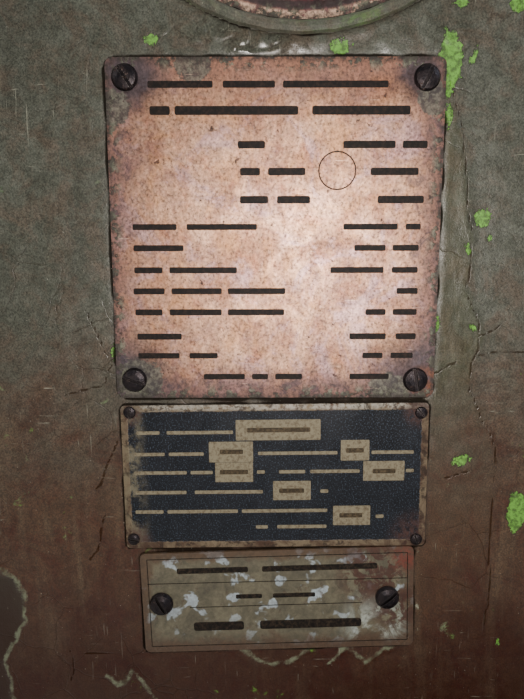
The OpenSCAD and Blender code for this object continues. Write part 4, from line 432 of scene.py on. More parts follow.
# Etched copper sheet: half matt and rosy, browned towards its edges, blue-black round the lower screws,
# rubbed and pitted all over. The round one is smeared with old paint.
def copperMaterial(name, plate, isRound):
    material, add, shader, at = startMaterial(name)
    u, v = plateAxes(add, at, plate)
    middle = add("noise", at, 1000 / 15, 5, 0.68, 0.5)
    fine = add("noise", at, 1000 / 2.4, 5, 0.7)
    speck = add("noise", at, 1000 / 0.9, 3, 0.6)
    light, dim = ("#544446", "#3b2c30") if isRound else ("#aa8770", "#84604b")
    colour = add("mix", add("step", middle, 0.3, 0.68), srgb(light), srgb(dim))
    colour = cover(add, colour, add("step", add("noise", at, 1000 / 6, 5, 0.7), 0.46, 0.68), 0.55, "#7a4a36")
    cloud = add("times", add("step", add("noise", at, 1000 / 22, 6, 0.76, 0.8), 0.46, 0.66), 0.7)
    colour = add("mix", cloud, colour, srgb("#6a4a44"))
    rubbed = add("times", add("step", fine, 0.5, 0.75), 0.15 if isRound else 0.4)
    colour = add("mix", rubbed, colour, srgb("#c8a48f"))
    if not isRound:
        patches = add("noise", at, 1000 / 17, 6, 0.74, 0.7)
        colour = cover(add, colour, add("step", patches, 0.50, 0.64), 0.5, "#9c7048")
        colour = cover(add, colour, add("step", patches, 0.48, 0.36), 0.5, "#9a8086")
    inner = insideEdge(add, u, v, plate["half"])
    edge = jitter(add, inner, middle, 0.022)
    if isRound:
        inner = add("minus", plate["half"][0], add("length", add("point", u, v, 0.0)))
        edge = jitter(add, inner, middle, 0.03)
    patina = add("step", edge, 0.0125, 0.001)
    colour = cover(add, colour, patina, 0.82, "#5a3b35")
    dark = add("step", add("noise", at, 1000 / 9, 5, 0.75, 0.8), 0.5, 0.66)
    dark = add("times", dark, add("step", edge, 0.018, 0.003))
    colour = cover(add, colour, dark, 0.85, "#3a2a30")
    bared = 0.0
    if not isRound:
        upper = add("step", jitter(add, v, middle, 0.03), 0.030, 0.056)
        colour = cover(add, colour, upper, 0.62, "#76503c")
        for stain in plate["stains"]:
            mark = spot(add, jitter(add, u, middle, 0.02), v, *stain)
            colour = cover(add, colour, mark, 0.88, "#2b2830")
        band = add("step", jitter(add, v, middle, 0.012), -0.0475, -0.0545)
        colour = cover(add, colour, band, 0.2, "#3b2a2c")
        torn = add("times", add("minus", add("noise", at, 1000 / 4.5, 6, 0.75, 0.5), 0.5), 1.6)
        for patch in plate["bared"]:
            lost = add("step", add("plus", spot(add, u, v, *patch), torn), 0.56, 0.64)
            bared = add("most", bared, lost)
        under = add("mix", add("step", fine, 0.4, 0.6), srgb("#4d4c42"), srgb("#2b2826"))
        colour = add("mix", add("times", bared, 0.85), colour, under)
        rust = spot(add, u, v, *plate["rust"])
        rust = add("times", rust, add("step", fine, 0.35, 0.6))
        colour = add("mix", rust, colour, srgb("#5e3622"))
    else:
        smear = add("times", add("step", add("noise", at, 1000 / 20, 5, 0.7, 1.5), 0.47, 0.60), 0.85)
        colour = add("mix", smear, colour, srgb("#4e1720"))
        ring = add("minus", add("plus", inner, add("times", fine, 0.002)), 0.0052)
        ring = add("step", add("absolute", ring), 0.0020, 0.0008)
        colour = cover(add, colour, ring, 0.9, "#1f1617")
        pale = add("step", add("noise", at, 1000 / 3, 5, 0.7), 0.40, 0.52)
        pale = add("times", add("step", inner, 0.0030, 0.0018), pale)
        colour = add("mix", pale, colour, srgb("#a08672"))
    flaked = add("step", add("noise", at, 1000 / 5, 5, 0.7), 0.51, 0.56)
    flaked = add("times", add("step", inner, 0.0060, 0.0010), flaked)
    below = add("mix", add("step", fine, 0.4, 0.6), srgb("#4d4f42"), srgb("#2c2820"))
    colour = add("mix", flaked, colour, below)
    lipDirt = add("times", add("step", inner, 0.0022, 0.0003), add("step", fine, 0.62, 0.40))
    colour = add("mix", lipDirt, colour, srgb("#1d1712"))
    dots = add("times", add("step", speck, 0.56, 0.70), 0.5)
    colour = add("mix", dots, colour, srgb("#3a2620"))
    pocks = add("times", add("step", add("noise", at, 1000 / 3.1, 3, 0.6), 0.68, 0.73), 0.85)
    colour = add("mix", pocks, colour, srgb("#2c1c18"))
    scratch = add("noise", add("stretch", at, (1.0, 0.05, 1.0)), 1000 / 0.6, 2, 0.5, 0.3)
    scratch = add("step", scratch, 0.72, 0.78)
    colour = cover(add, colour, scratch, 0.5, "#e2bfa8")
    colour = mottle(add, colour, speck, 1.34, 0.68)
    colour = mottle(add, colour, fine, 1.2, 0.82)
    hatch = add("noise", add("stretch", at, (1.0, 1.0, 0.4)), 1000 / 1.3, 3, 0.6, 0.6)
    colour = mottle(add, colour, hatch, 1.16, 0.83)
    dull = add("most", add("most", patina, dark), add("most", flaked, bared))
    gloss = add("plus", add("step", middle, 0.3, 0.7, 0.40, 0.52), add("times", dull, 0.14))
    metal = add("step", dull, 0.0, 1.0, 0.66, 0.3)
    height = add("plus", add("times", fine, 0.12), add("times", flaked, 0.35))
    for way, mask, part in (("minus", dots, 0.1), ("minus", pocks, 0.2), ("plus", speck, 0.05)):
        height = add(way, height, add("times", mask, part))
    feed(shader, colour=colour, rough=gloss, metal=metal, normal=add("bump", height, 0.3 / 1000))
    return material


# Black lacquer on etched sheet metal: deep and smooth, worn bare along the border
def blackPlateMaterial(plate):
    material, add, shader, at = startMaterial("Etched plate, black lacquer, bare border")
    u, v = plateAxes(add, at, plate)
    middle = add("noise", at, 1000 / 12, 5, 0.7, 0.5)
    fine = add("noise", at, 1000 / 1.6, 4, 0.7)
    speck = add("noise", at, 1000 / 0.5, 2, 0.55)
    colour = add("mix", add("step", middle, 0.35, 0.7), srgb("#07090e"), srgb("#0d1016"))
    worn = add("times", add("step", speck, 0.52, 0.70), 0.6)
    colour = add("mix", worn, colour, srgb("#434d5a"))
    inner = insideEdge(add, u, v, plate["half"])
    ragged = jitter(add, inner, fine, 0.0012)
    border = add("step", ragged, 0.0026, 0.0021)
    metalColour = add("mix", add("step", middle, 0.4, 0.62), srgb("#6e6250"), srgb("#44342b"))
    top = add("step", v, 0.0235, 0.0262)
    metalColour = add("mix", add("times", top, add("step", fine, 0.35, 0.6)), metalColour, srgb("#8f8b81"))
    eaten = add("step", add("noise", at, 1000 / 3.4, 5, 0.72, 0.4), 0.50, 0.60)
    metalColour = cover(add, metalColour, eaten, 0.75, "#2b2420")
    colour = add("mix", border, colour, metalColour)
    left = add("step", add("noise", at, 1000 / 6, 5, 0.7), 0.42, 0.6)
    left = add("times", add("step", u, -0.045, -0.052), left)
    colour = cover(add, colour, left, 0.6, "#6d6754")
    for stain in plate["stains"]:
        mark = add("times", spot(add, u, v, *stain), add("step", fine, 0.3, 0.6))
        colour = cover(add, colour, mark, 0.85, "#3d2a26")
    height = add("plus", add("times", fine, 0.15), add("times", border, 0.4))
    feed(shader, colour=colour, rough=add("step", middle, 0.3, 0.7, 0.32, 0.44),
         metal=add("times", border, 0.5), shine=0.26, normal=add("bump", height, 0.25 / 1000))
    return material


# Painted sheet: satin beige with bluish flecks, a browned rim, and rust that spreads from the right screw
def beigePlateMaterial(plate):
    material, add, shader, at = startMaterial("Painted sheet, beige, with rust stains")
    u, v = plateAxes(add, at, plate)
    middle = add("noise", at, 1000 / 11, 5, 0.7, 0.6)
    fine = add("noise", at, 1000 / 1.7, 4, 0.7)
    colour = add("mix", add("step", middle, 0.3, 0.7), srgb("#575342"), srgb("#3a372b"))
    flecks = add("step", add("noise", at, 1000 / 7.5, 3, 0.55, 0.2), 0.575, 0.63)
    where = add("step", jitter(add, v, middle, 0.02), -0.018, 0.002)
    flecks = add("times", flecks, add("plus", add("times", where, 0.45), 0.25))
    colour = add("mix", flecks, colour, srgb("#8f9ba2"))
    patch = add("times", spot(add, u, v, *plate["pale"]), add("step", middle, 0.42, 0.55))
    colour = cover(add, colour, patch, 0.7, "#9aa29a")
    inner = insideEdge(add, u, v, plate["half"])
    browned = add("step", jitter(add, inner, middle, 0.012), 0.0050, 0.0012)
    colour = cover(add, colour, browned, 0.85, "#3c2a1b")
    rust = add("most", *(spot(add, u, v, *stain) for stain in plate["rust"]))
    rust = add("times", rust, add("step", add("noise", at, 1000 / 6, 6, 0.72, 0.9), 0.45, 0.50))
    colour = cover(add, colour, rust, 0.92, "#341a11")
    red = add("times", spot(add, u, v, *plate["red"]), add("step", fine, 0.35, 0.55))
    colour = cover(add, colour, red, 0.7, "#561d12")
    foot = add("step", jitter(add, v, middle, 0.02), -0.0125, -0.0175)
    colour = cover(add, colour, foot, 0.7, "#3b2a1d")
    worn = add("step", add("noise", at, 1000 / 4, 6, 0.75, 0.4), 0.57, 0.63)
    colour = cover(add, colour, worn, 0.6, "#45382a")
    colour = mottle(add, colour, fine, 0.78, 1.2)
    height = add("minus", add("times", fine, 0.15), add("times", worn, 0.25))
    feed(shader, colour=colour, rough=add("step", middle, 0.3, 0.7, 0.42, 0.6), metal=0.0,
         normal=add("bump", height, 0.3 / 1000))
    return material


# Fill in the etched rows, or black paint put on by brush: matt, with a slight mottle
def markMaterial(name, base, second, rough):
    material, add, shader, at = startMaterial(name)
    fine = add("noise", at, 1000 / 1.4, 4, 0.7)
    colour = add("mix", add("step", fine, 0.42, 0.68), srgb(base), srgb(second))
    feed(shader, colour=colour, rough=rough, metal=0.0, shine=0.12, normal=add("bump", fine, 0.08 / 1000))
    return material


# Browned steel: dark satin heads, rubbed on the edges, with a little rust
def screwMaterial():
    material, add, shader, at = startMaterial("Browned steel screws")
    middle = add("noise", at, 1000 / 3.2, 5, 0.7, 0.5)
    fine = add("noise", at, 1000 / 0.7, 3, 0.6)
    colour = add("mix", add("step", middle, 0.35, 0.6), srgb("#17151a"), srgb("#241e20"))
    rust = add("step", add("noise", at, 1000 / 2.2, 5, 0.75, 0.5), 0.58, 0.68)
    colour = cover(add, colour, rust, 0.7, "#40281c")
    wear = add("step", edgeWear(add, 0.4), 0.03, 0.2)
    colour = cover(add, colour, wear, 0.4, "#66615c")
    gloss = add("plus", add("step", middle, 0.3, 0.7, 0.33, 0.50), add("times", rust, 0.2))
    height = add("plus", fine, add("times", rust, 0.5))
    feed(shader, colour=colour, rough=gloss, metal=add("step", rust, 0.0, 1.0, 0.75, 0.1),
         normal=add("bump", height, 0.12 / 1000))
    return material


print("making materials")
slotMaterials = {key: paintMaterial(p) for key, p in paints.items()}
slotMaterials.update({key: metalMaterial(m) for key, m in metals.items()})
slotMaterials.update({key: plainMaterial(p) for key, p in plains.items()})
slotMaterials["black_plate"] = blackPlateMaterial(plateSettings["electric"])
slotMaterials["beige_plate"] = beigePlateMaterial(plateSettings["inventory"])
nodeMaterials = {
    "rating_plate": copperMaterial("Etched copper sheet, browned at the edges", plateSettings["rating"],
                                   False),
    "round_plate": copperMaterial("Round copper sheet, smeared with old paint", plateSettings["round"], True),
    "plate_screws": screwMaterial(),
}
for row in frame["record"]["subparts"]:
    made = nodeMaterials.get(row["node"]) or slotMaterials[row["material_slot"]]
    data = nodes[row["node"]].data
    data.materials.clear()
    data.materials.append(made)
print("materials on", len(nodes), "nodes")


# Marks on the plates: plain bars and boxes where a real plate has its rows, rooted just below the sheet
markRoot = 0.00005


def onPlate(plate, u, v):
    turn = math.radians(plate["turn"])
    y, z = plate["centre"]
    return (y + (u * math.cos(turn) - v * math.sin(turn)) / 1000,
            z + (u * math.sin(turn) + v * math.cos(turn)) / 1000)


def barOutline(u0, u1, v, height, corner):
    points = []
    r = min(corner, height / 2, (u1 - u0) / 2)
    for cu, cv, start in ((u1 - r, v + height / 2 - r, 0), (u0 + r, v + height / 2 - r, 90),
                          (u0 + r, v - height / 2 + r, 180), (u1 - r, v - height / 2 + r, 270)):
        for step in range(5):
            a = math.radians(start + step * 22.5)
            points.append((cu + r * math.cos(a), cv + r * math.sin(a)))
    return points


def addPiece(name, mesh, material, body="press_frame"):
    data = bpy.data.meshes.new(name)
    mesh.to_mesh(data)
    mesh.free()
    data.materials.append(material)
    piece = bpy.data.objects.new(name, data)
    bpy.context.scene.collection.objects.link(piece)
    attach(piece, body)
    return piece


def makeMarks(name, plate, outlines, material, rise):
    mesh = bmesh.new()
    for outline in outlines:
        mesh.faces.new([mesh.verts.new((plateTop - markRoot, *onPlate(plate, u, v))) for u, v in outline])
    roots = mesh.faces[:]
    raised = bmesh.ops.extrude_face_region(mesh, geom=roots)["geom"]
    tops = [part for part in raised if isinstance(part, bmesh.types.BMVert)]
    bmesh.ops.translate(mesh, verts=tops, vec=(markRoot + rise / 1000, 0, 0))
    bmesh.ops.delete(mesh, geom=roots, context="FACES_ONLY")
    bmesh.ops.recalc_face_normals(mesh, faces=mesh.faces)
    addPiece(name, mesh, material)


# In mm from each plate's centre. A row is its height on the plate, its pitch and its bars from left to right,
# and a bar takes the share of the pitch. The ring is its centre, radius and line width.
ratingRows = {
    "rows": [
        (48.5, 4.4, [(-42.1, -20.7), (-17.4, -0.2), (2.4, 37.1)]),
        (40.3, 5.7, [(-41.7, -35.0), (-33.4, 7.5), (12.1, 44.6)]),
        (29.4, 4.8, [(-12.6, -3.5), (22.6, 40.0), (42.4, 50.7)]),
        (20.7, 4.9, [(-11.9, -5.2), (-2.5, 10.0), (31.9, 48.0)]),
        (11.5, 5.0, [(-12.0, -2.5), (0.5, 11.7), (34.5, 50.1)]),
        (2.5, 4.0, [(-48.6, -33.6), (-30.2, -6.3), (23.1, 41.6), (44.3, 49.4)]),
        (-4.6, 4.1, [(-48.5, -31.4), (27.0, 37.7), (40.1, 49.0)]),
        (-12.1, 4.1, [(-48.5, -38.8), (-36.4, -13.2), (18.9, 37.2), (40.0, 48.9)]),
        (-19.3, 4.2, [(-49.0, -38.3), (-35.9, -18.5), (-16.4, 3.4), (41.9, 49.2)]),
        (-26.6, 4.2, [(-48.6, -39.2), (-36.7, -18.6), (-16.5, 3.1), (31.3, 38.3), (40.8, 49.1)]),
        (-35.1, 4.3, [(-48.2, -32.7), (25.9, 38.6), (42.1, 49.1)]),
        (-41.9, 3.9, [(-48.1, -33.6), (-30.1, -20.2), (30.6, 37.7), (40.5, 48.3)]),
        (-49.4, 4.0, [(-25.2, -10.7), (-8.2, -2.5), (0.0, 9.5), (26.2, 40.1)])],
    "share": 0.5, "ring": (20.7, 21.0, 6.2, 0.45)}
electricRows = {
    "rows": [
        (16.9, 3.0, [(-49.6, -41.3), (-38.8, -15.0)]),
        (8.9, 3.0, [(-50.7, -39.8), (-38.3, -25.7), (-6.1, 22.5), (34.8, 50.0)]),
        (1.9, 3.0, [(-51.0, -32.0), (-30.6, -22.6), (-6.6, -3.7), (1.4, 10.9), (12.7, 30.6), (47.3, 50.2)]),
        (-5.6, 3.1, [(-50.9, -32.3), (-29.3, -4.5), (16.4, 19.3)]),
        (-13.0, 3.1, [(-51.2, -40.9), (-39.5, -13.7), (-12.3, 19.0)]),
        (-15.5, 3.1, [(36.7, 39.6)]),
        (-19.2, 3.1, [(-7.2, -2.8), (0.6, 18.7)])],
    "share": 0.42,
    "boxes": [(-14.0, 21.4, 16.4, 13.8), (-23.8, 13.4, -7.9, 5.7), (-21.7, 5.6, -8.0, -1.8),
              (23.7, 13.6, 34.0, 5.9), (31.9, 5.6, 46.8, -1.8), (-0.8, -1.6, 12.9, -8.9),
              (21.1, -11.3, 34.7, -18.8)],
    "values": [(17.6, -10.0, 12.7), (9.6, -19.9, -11.5), (2.0, -20.0, -9.8), (9.7, 25.6, 32.0),
               (1.8, 35.3, 43.6), (-5.3, 1.4, 10.5), (-15.0, 23.4, 31.8)]}
inventoryRows = {
    "rows": [
        (12.7, 5.2, [(-37.3, -10.8), (-5.6, 37.3)]),
        (1.9, 4.1, [(-15.7, -5.9), (-1.8, 14.0)]),
        (-9.9, 8.3, [(-32.0, -13.1), (-7.0, 31.2)])],
    "share": 0.42,
    "rules": [(-48.5, 7.9, 48.5, 7.5), (-33.2, -2.0, 31.5, -1.9), (-48.2, 17.6, 48.5, 17.6),
              (-48.2, -17.6, 48.5, -17.6)]}


def rowOutlines(settings):
    return [barOutline(left, right, v, pitch * settings["share"], pitch * 0.12)
            for v, pitch, bars in settings["rows"] for left, right in bars]


def ringOutlines(u, v, radius, width, steps=24):
    inner, outer = radius - width / 2, radius + width / 2
    turns = [math.radians(360 / steps * k) for k in range(steps + 1)]
    return [[(u + r * math.cos(t), v + r * math.sin(t))
             for r, t in ((inner, a), (outer, a), (outer, b), (inner, b))]
            for a, b in zip(turns, turns[1:])]


def ruleOutline(u0, v0, u1, v1, width=0.3):
    return [(u0, v0 - width / 2), (u1, v1 - width / 2), (u1, v1 + width / 2), (u0, v0 + width / 2)]


etched = markMaterial("Black fill in the etched rows", "#100e0d", "#241b17", 0.6)
bareBeige = markMaterial("Bare sheet in the lacquer's gaps", "#6a6453", "#4f4739", 0.5)
stamped = markMaterial("Stamped fill", "#2c261d", "#4a4030", 0.45)
inked = markMaterial("Brushed black paint", "#100e0c", "#2e261e", 0.6)
ratingOutlines = rowOutlines(ratingRows) + ringOutlines(*ratingRows["ring"])
boxOutlines = [barOutline(a, c, (b + d) / 2, b - d, 0.3) for a, b, c, d in electricRows["boxes"]]
valueOutlines = [barOutline(a, b, v, 1.7, 0.4) for v, a, b in electricRows["values"]]
ruleOutlines = [ruleOutline(*rule) for rule in inventoryRows["rules"]]
edgeOutlines = [barOutline(u - 0.15, u + 0.15, 0.0, 35.2, 0.1) for u in (-48.2, 48.5)]
makeMarks("rating_marks", plateSettings["rating"], ratingOutlines, etched, 0.03)
makeMarks("electric_marks", plateSettings["electric"], rowOutlines(electricRows) + boxOutlines, bareBeige,
          0.06)
makeMarks("electric_values", plateSettings["electric"], valueOutlines, stamped, 0.09)
makeMarks("inventory_marks", plateSettings["inventory"],
          rowOutlines(inventoryRows) + ruleOutlines + edgeOutlines, inked, 0.04)
print("plate marks made")


# The wall's old paint round the plates, a thin skin with ridges, blisters, lips and chips. Its span and step
# are in metres, and the rest in mm: lines are points (y, z), a chip or blister has its place and half sizes,
# a blister its rise too, and a fade runs from its first number to its second.
skinSettings = {
    "y": (0.056, 0.342), "z": (1.258, 1.5745), "step": 0.00105, "base": 0.20,
    "thickRise": 0.26, "thickLeft": (240, 252), "thickFoot": (1325, 1345), "thickTop": (1530, 1515),
    "thickWorn": (1395, 1430), "ridgeRise": 0.20, "blisterFoot": (1527.5, 1531), "blisterTop": (1560, 1545),
    "peelRise": 0.22, "olderDepth": 0.16, "olderLeft": (60, 72), "olderFoot": (1262, 1275),
    "olderTop": (1349, 1343), "chipDepth": 0.16, "wrinkleLeft": (150, 165), "wrinkleFoot": (1527, 1529.5),
    "wrinkleTop": (1545, 1533), "bandLeft": (256, 258), "roundRim": 75.0, "fade": (0, 12),
    "ridge": [(256.6, 1522.0), (262.1, 1504.3), (264.3, 1488.1), (265.6, 1476.2), (267.7, 1469.5),
              (267.2, 1459.3), (266.2, 1452.4), (267.9, 1446.2), (270.9, 1441.3), (272.0, 1434.9),
              (271.6, 1429.9), (269.0, 1424.9), (268.6, 1419.1), (269.5, 1414.8), (272.7, 1408.9),
              (273.7, 1404.5), (277.2, 1400.0), (279.6, 1394.8), (280.3, 1389.5), (279.8, 1374.2),
              (279.2, 1358.6), (281.0, 1340.0), (279.0, 1322.0)],
    "peel": [[(93.2, 1348.3), (97.5, 1346.7), (103.7, 1343.1), (105.3, 1338.6), (106.5, 1333.7),
              (105.3, 1326.3), (102.7, 1321.4), (99.6, 1314.7), (97.3, 1308.8), (98.1, 1302.9),
              (99.6, 1296.9), (100.0, 1288.0)],
             [(187.0, 1316.8), (190.8, 1311.8), (195.4, 1309.7), (204.2, 1308.4), (213.8, 1313.9)],
             [(221.5, 1308.8), (227.1, 1316.8), (234.9, 1309.7), (242.4, 1313.9), (248.0, 1318.0)],
             [(136.2, 1302.9), (140.6, 1298.6), (145.5, 1305.4), (148.4, 1301.2), (154.8, 1293.0),
              (158.0, 1289.0)]],
    "cracks": [[(133.7, 1444.1), (140.1, 1429.2), (142.4, 1425.6), (139.6, 1417.3), (125.2, 1413.7)],
               [(143.5, 1397.0), (136.3, 1380.0), (134.4, 1378.1)],
               [(137.6, 1368.4), (134.5, 1354.7), (131.3, 1350.7)],
               [(272.4, 1428.1), (279.0, 1429.6), (287.8, 1429.2)], [(272.0, 1434.9), (278.8, 1438.4)],
               [(255.0, 1420.9), (263.7, 1425.6)], [(262.1, 1382.7), (271.1, 1385.7)],
               [(122.1, 1313.9), (123.7, 1306.7), (122.2, 1301.2)], [(127.8, 1312.6), (141.2, 1313.0)]],
    "chips": [((257.4, 1525.6), 4.1, 10.7), ((258.3, 1508.7), 1.5, 4.8), ((264.9, 1527.5), 0.9, 3.3),
              ((221.9, 1530.6), 3.7, 2.2), ((270.7, 1476.5), 2.6, 3.0), ((273.5, 1469.5), 1.1, 1.5),
              ((266.2, 1465.7), 1.3, 2.2), ((269.0, 1438.1), 1.2, 1.1), ((268.3, 1389.5), 3.0, 1.5),
              ((289.2, 1370.0), 3.9, 8.5), ((260.4, 1544.2), 3.0, 1.9), ((278.9, 1543.3), 2.4, 2.4),
              ((159.5, 1531.2), 2.2, 1.9), ((285.3, 1318.0), 1.2, 1.1), ((248.7, 1350.7), 1.3, 1.1),
              ((256.4, 1437.0), 0.9, 4.4), ((142.5, 1429.2), 1.0, 2.4)],
    "blisters": [((157.5, 1531.5), 5, 3, 0.9), ((180.1, 1534.5), 6, 4, 0.8), ((187.6, 1531.8), 4, 5, 1.0),
                 ((207.9, 1531.0), 9, 3, 1.1), ((215.7, 1531.4), 5, 3, 0.9), ((235.6, 1531.6), 6, 5, 1.2),
                 ((246.8, 1538.0), 8, 6, 0.9), ((242.0, 1533.5), 4, 3, 1.0), ((196.0, 1533.0), 5, 4, 0.7),
                 ((228.0, 1535.0), 5, 3, 0.6), ((252.0, 1532.0), 4, 4, 0.7), ((268.0, 1532.0), 7, 12, 0.4)],
}


def smooth(value, low, high):
    t = np.clip((value - low) / (high - low), 0, 1)
    return t * t * (3 - 2 * t)


def ripple(y, z, size, seed, aspect=1.0):
    rng = np.random.default_rng(seed)
    lattice = rng.random((256, 256))
    a, b = y / size + 40, z / (size * aspect) + 40
    i, j = np.floor(a).astype(int), np.floor(b).astype(int)
    s, t = smooth(a - i, 0, 1), smooth(b - j, 0, 1)
    near, far = ((lattice[i % 256, (j + n) % 256] * (1 - s) + lattice[(i + 1) % 256, (j + n) % 256] * s)
                 for n in (0, 1))
    return (near * (1 - t) + far * t) * 2 - 1


def lineDistance(y, z, line):
    best = np.full(y.shape, 1e9)
    for (ay, az), (by, bz) in zip(line[:-1], line[1:]):
        ly, lz = by - ay, bz - az
        t = np.clip(((y - ay) * ly + (z - az) * lz) / (ly * ly + lz * lz), 0, 1)
        best = np.minimum(best, np.hypot(y - ay - t * ly, z - az - t * lz))
    return best


def plateDistance(y, z, plate):
    cy, cz = (c * 1000 for c in plate["centre"])
    turn = math.radians(plate["turn"])
    u = (y - cy) * math.cos(turn) + (z - cz) * math.sin(turn)
    v = -(y - cy) * math.sin(turn) + (z - cz) * math.cos(turn)
    du = np.abs(u) - plate["half"][0] * 1000 + plate["corner"]
    dv = np.abs(v) - plate["half"][1] * 1000 + plate["corner"]
    gap = np.hypot(np.maximum(du, 0), np.maximum(dv, 0)) + np.minimum(np.maximum(du, dv), 0) - plate["corner"]
    return gap, u, v


def makeSkin(s):
    ys = np.arange(s["y"][0], s["y"][1], s["step"]) * 1000
    zs = np.arange(s["z"][0], s["z"][1], s["step"]) * 1000
    y, z = np.meshgrid(ys, zs)
    wave = ripple(y, z, 9, 1) * 0.6 + ripple(y, z, 4, 2) * 0.4
    height = s["base"] + 0.05 * wave + 0.05 * ripple(y, z, 22, 3) + 0.05 * ripple(y, z, 7, 4, 7.0)
    wy = y + 1.2 * ripple(y, z, 6, 5) + 0.6 * ripple(y, z, 2.6, 6)
    wz = z + 1.2 * ripple(y, z, 6, 7) + 0.6 * ripple(y, z, 2.6, 8)

    # Thick paint between the plates and the wavy edge at their right
    ridgeLine = s["ridge"]
    edgeY = np.interp(-z, [-p[1] for p in ridgeLine], [p[0] for p in ridgeLine])
    upright = smooth(z, *s["thickFoot"]) * smooth(z, *s["thickTop"])
    thick = smooth(wy, edgeY + 1.3, edgeY - 1.0) * smooth(y, *s["thickLeft"]) * upright
    height += s["thickRise"] * thick
    height += s["ridgeRise"] * np.exp(-(lineDistance(wy, wz, ridgeLine) / 1.5) ** 2)

    # Blisters above the rating plate
    for (cy, cz), ry, rz, rise in s["blisters"]:
        swell = np.exp(-(((wy - cy) / (0.62 * ry)) ** 2 + ((wz - cz) / (0.62 * rz)) ** 2))
        height += 0.6 * rise * swell * (0.75 + 0.35 * ripple(y, z, 3.2, 9))
    top = smooth(z, *s["blisterFoot"]) * smooth(z, *s["blisterTop"])
    height += 0.10 * top * ripple(y, z, 8, 10, 0.6)

    # Lips of peeled paint, the older layer they show, cracks and chips
    peel = np.min([lineDistance(wy, wz, line) for line in s["peel"]], axis=0)
    height += s["peelRise"] * np.exp(-(peel / 1.1) ** 2)
    left = s["peel"][0]
    lineY = np.interp(-z, [-p[1] for p in left], [p[0] for p in left])
    older = smooth(wy, lineY + 0.4, lineY - 0.8) * smooth(y, *s["olderLeft"])
    older *= smooth(z, *s["olderFoot"]) * smooth(z, *s["olderTop"])
    height -= s["olderDepth"] * older
    bentY = y + 0.5 * ripple(y, z, 3, 11)
    crack = np.min([lineDistance(bentY, z, line) for line in s["cracks"] + [ridgeLine]], axis=0)
    chip = np.full(y.shape, 1e9)
    for (cy, cz), ry, rz in s["chips"]:
        away = np.hypot((wy - cy) / ry, (wz - cz) / rz) - 1
        chip = np.minimum(chip, away * min(ry, rz))
    height -= s["chipDepth"] * smooth(chip, 0.4, -0.5)
    height = np.maximum(height, 0.03)

    # Round the plates: a shadow gap at the left and top, with painted shadow in it, a bead of paint at the
    # right
    hidden = np.zeros(y.shape, bool)
    seamShadow, beads = np.zeros(y.shape), np.zeros(y.shape)
    for name in ("rating", "electric", "inventory"):
        gap, u, v = plateDistance(y, z, plateSettings[name])
        half, halfUp = (size * 1000 for size in plateSettings[name]["half"])
        side = smooth(u, half - 2, half) * smooth(np.abs(v), halfUp + 1.5, halfUp - 1.5)
        groove = (1 - smooth(gap, 0.4, 1.8)) * (1 - 0.6 * side)
        height = height * (1 - 0.8 * groove) + 0.02 * groove
        bead = np.exp(-((gap - 1.6) / 1.5) ** 2) * side * (0.8 + 0.4 * ripple(y, z, 5, 12))
        height += (0.12 + 0.16 * ripple(y, z, 2.4, 13, 1.6)) * bead
        beads = np.maximum(beads, bead)
        broken = 0.95 + 0.4 * ripple(y, z, 6, 14) - 0.25 * side
        seamShadow = np.maximum(seamShadow, (1 - smooth(gap, 0.35, 1.6)) * broken)
        height = np.where(gap < 0.3, 0.02, height)
        height = np.where(gap < -1.2, -0.3, height)
        hidden |= gap < -2.4

    # Round the disc: a raised rim, and a painted shadow inside it. The skin sinks into the wall at its
    # border.
    cy, cz = (c * 1000 for c in plateSettings["round"]["centre"])
    rim = np.hypot(y - cy, z - cz) - s["roundRim"]
    height = height * smooth(rim, 0.0, 2.5) + 0.3 * np.exp(-((rim - 1.2) / 1.2) ** 2)
    seamShadow = np.maximum(seamShadow, 0.75 * (1 - smooth(rim, 0.2, 1.4)) * (0.7 + 0.5 * ripple(y, z, 7, 15)))
    height = np.where(rim < -0.4, -0.3, height)
    hidden |= rim < -2.5
    border = np.minimum(np.minimum(y - ys[0], ys[-1] - y), np.minimum(z - zs[0], zs[-1] - z))
    fade = smooth(border, *s["fade"])
    height = height * fade - 0.25 * (1 - smooth(border, 0, 3))

    # A grid moved to these heights, open where the plates sit
    mesh = bmesh.new()
    bmesh.ops.create_grid(mesh, x_segments=len(ys) - 1, y_segments=len(zs) - 1, size=1)
    places = np.stack([wallX + height / 1000, y / 1000, z / 1000], axis=-1).reshape(-1, 3)
    for vert, place in zip(mesh.verts, places):
        vert.co = place
    covered = [vert for vert, under in zip(mesh.verts, hidden.ravel()) if under]
    bmesh.ops.delete(mesh, geom=covered, context="VERTS")
    for face in mesh.faces:
        face.smooth = True
    piece = addPiece("paint_skin", mesh, slotMaterials["frame_paint"])

    # What the paint reads from the skin, point by point
    band = smooth(wy, *s["bandLeft"]) * smooth(wy, edgeY + 1.5, edgeY - 0.5) * upright
    patchy = smooth(ripple(y, z, 16, 16, 0.6), -0.35, 0.35)
    above = smooth(z, *s["wrinkleFoot"]) * smooth(z, *s["wrinkleTop"]) * smooth(y, *s["wrinkleLeft"])
    wrinkle = np.clip(0.85 * above * patchy + 0.07 * band, 0, 1)
    fields = {"skin": np.ones(y.shape), "seamShadow": np.clip(seamShadow, 0, 1), "bead": beads, "wrinkle": wrinkle,
              "chip": np.clip(0.5 - chip / 4, 0, 1), "peel": np.clip(1 - peel / 3, 0, 1), "older": older,
              "thick": thick * (0.15 + 0.85 * smooth(z, *s["thickWorn"])),
              "crack": np.clip(1 - crack / 2, 0, 1)}
    for name, values in fields.items():
        values = (values if name == "skin" else values * fade)[~hidden]
        layer = piece.data.attributes.new(name, "FLOAT", "POINT")
        layer.data.foreach_set("value", values.astype(np.float32))
    print("paint skin:", len(piece.data.polygons), "faces")


makeSkin(skinSettings)


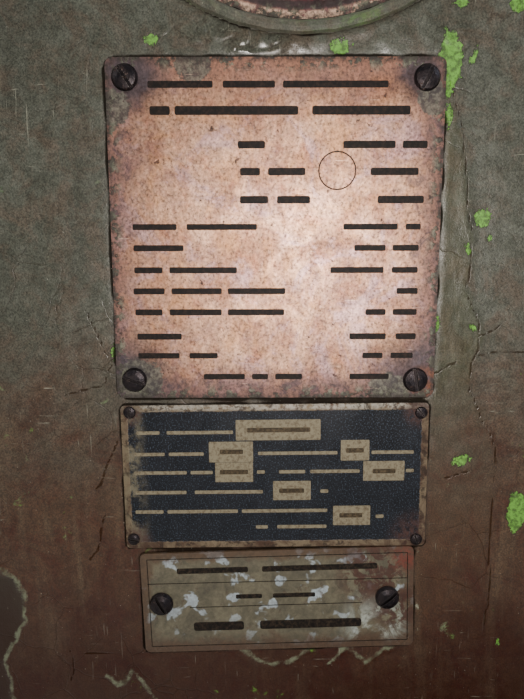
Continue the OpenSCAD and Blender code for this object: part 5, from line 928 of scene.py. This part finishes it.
# Floor, lights and world: a pale floor, soft lamps round the press, a small lamp that grazes the plates as
# in the photograph, and an even light from above
def makeFloor():
    mesh = bmesh.new()
    bmesh.ops.create_grid(mesh, x_segments=1, y_segments=1, size=30)
    data = bpy.data.meshes.new("floor")
    mesh.to_mesh(data)
    mesh.free()
    material, _, shader, _ = startMaterial("Pale studio floor")
    feed(shader, colour=srgb("#cfccc6"), rough=0.7)
    data.materials.append(material)
    floor = bpy.data.objects.new("floor", data)
    floor.location = (0, 0, -0.001)
    bpy.context.scene.collection.objects.link(floor)


lightSettings = [
    {"name": "key", "place": (-1.8, -4.6, 4.6), "aim": (0, 0, 1.2), "size": 2.6, "power": 470,
     "colour": "#fff8ef"},
    {"name": "side", "place": (2.8, -4.2, 3.8), "aim": (0, 0, 1.3), "size": 2.4, "power": 78,
     "colour": "#fffaf4"},
    {"name": "back", "place": (1.6, 4.6, 3.8), "aim": (0, 0.2, 1.3), "size": 2.8, "power": 160,
     "colour": "#f4f6ff"},
    {"name": "fill", "place": (-4.4, 1.8, 2.8), "aim": (0, 0, 1.1), "size": 3.2, "power": 230,
     "colour": "#eef3ff"},
    {"name": "lamp", "place": (0.452, 0.228, 1.466), "aim": (0.23, 0.208, 1.450), "size": 0.03, "power": 0.88,
     "colour": "#fff6ee"},
    {"name": "sky", "place": (0, 0, 6), "aim": (0, 0, 0), "size": 1.0, "power": 0.62, "colour": "#ffffff"},
]


def makeLights(rows):
    for row in rows:
        isSky = row["name"] == "sky"
        data = bpy.data.lights.new(row["name"], "SUN" if isSky else "AREA")
        if isSky:
            data.angle = row["size"]
        else:
            data.size = row["size"]
        data.energy = row["power"]
        data.color = srgb(row["colour"])[:3]
        light = bpy.data.objects.new(row["name"], data)
        light.location = row["place"]
        light.rotation_euler = (Vector(row["aim"]) - Vector(row["place"])).to_track_quat("-Z", "Y").to_euler()
        light.visible_camera = False
        bpy.context.scene.collection.objects.link(light)
    world = bpy.data.worlds.new("studio")
    world.use_nodes = True
    world.node_tree.nodes["Background"].inputs["Color"].default_value = srgb("#dfe2e6")
    world.node_tree.nodes["Background"].inputs["Strength"].default_value = 0.24
    bpy.context.scene.world = world


makeFloor()
makeLights(lightSettings)
print("lights and floor made")
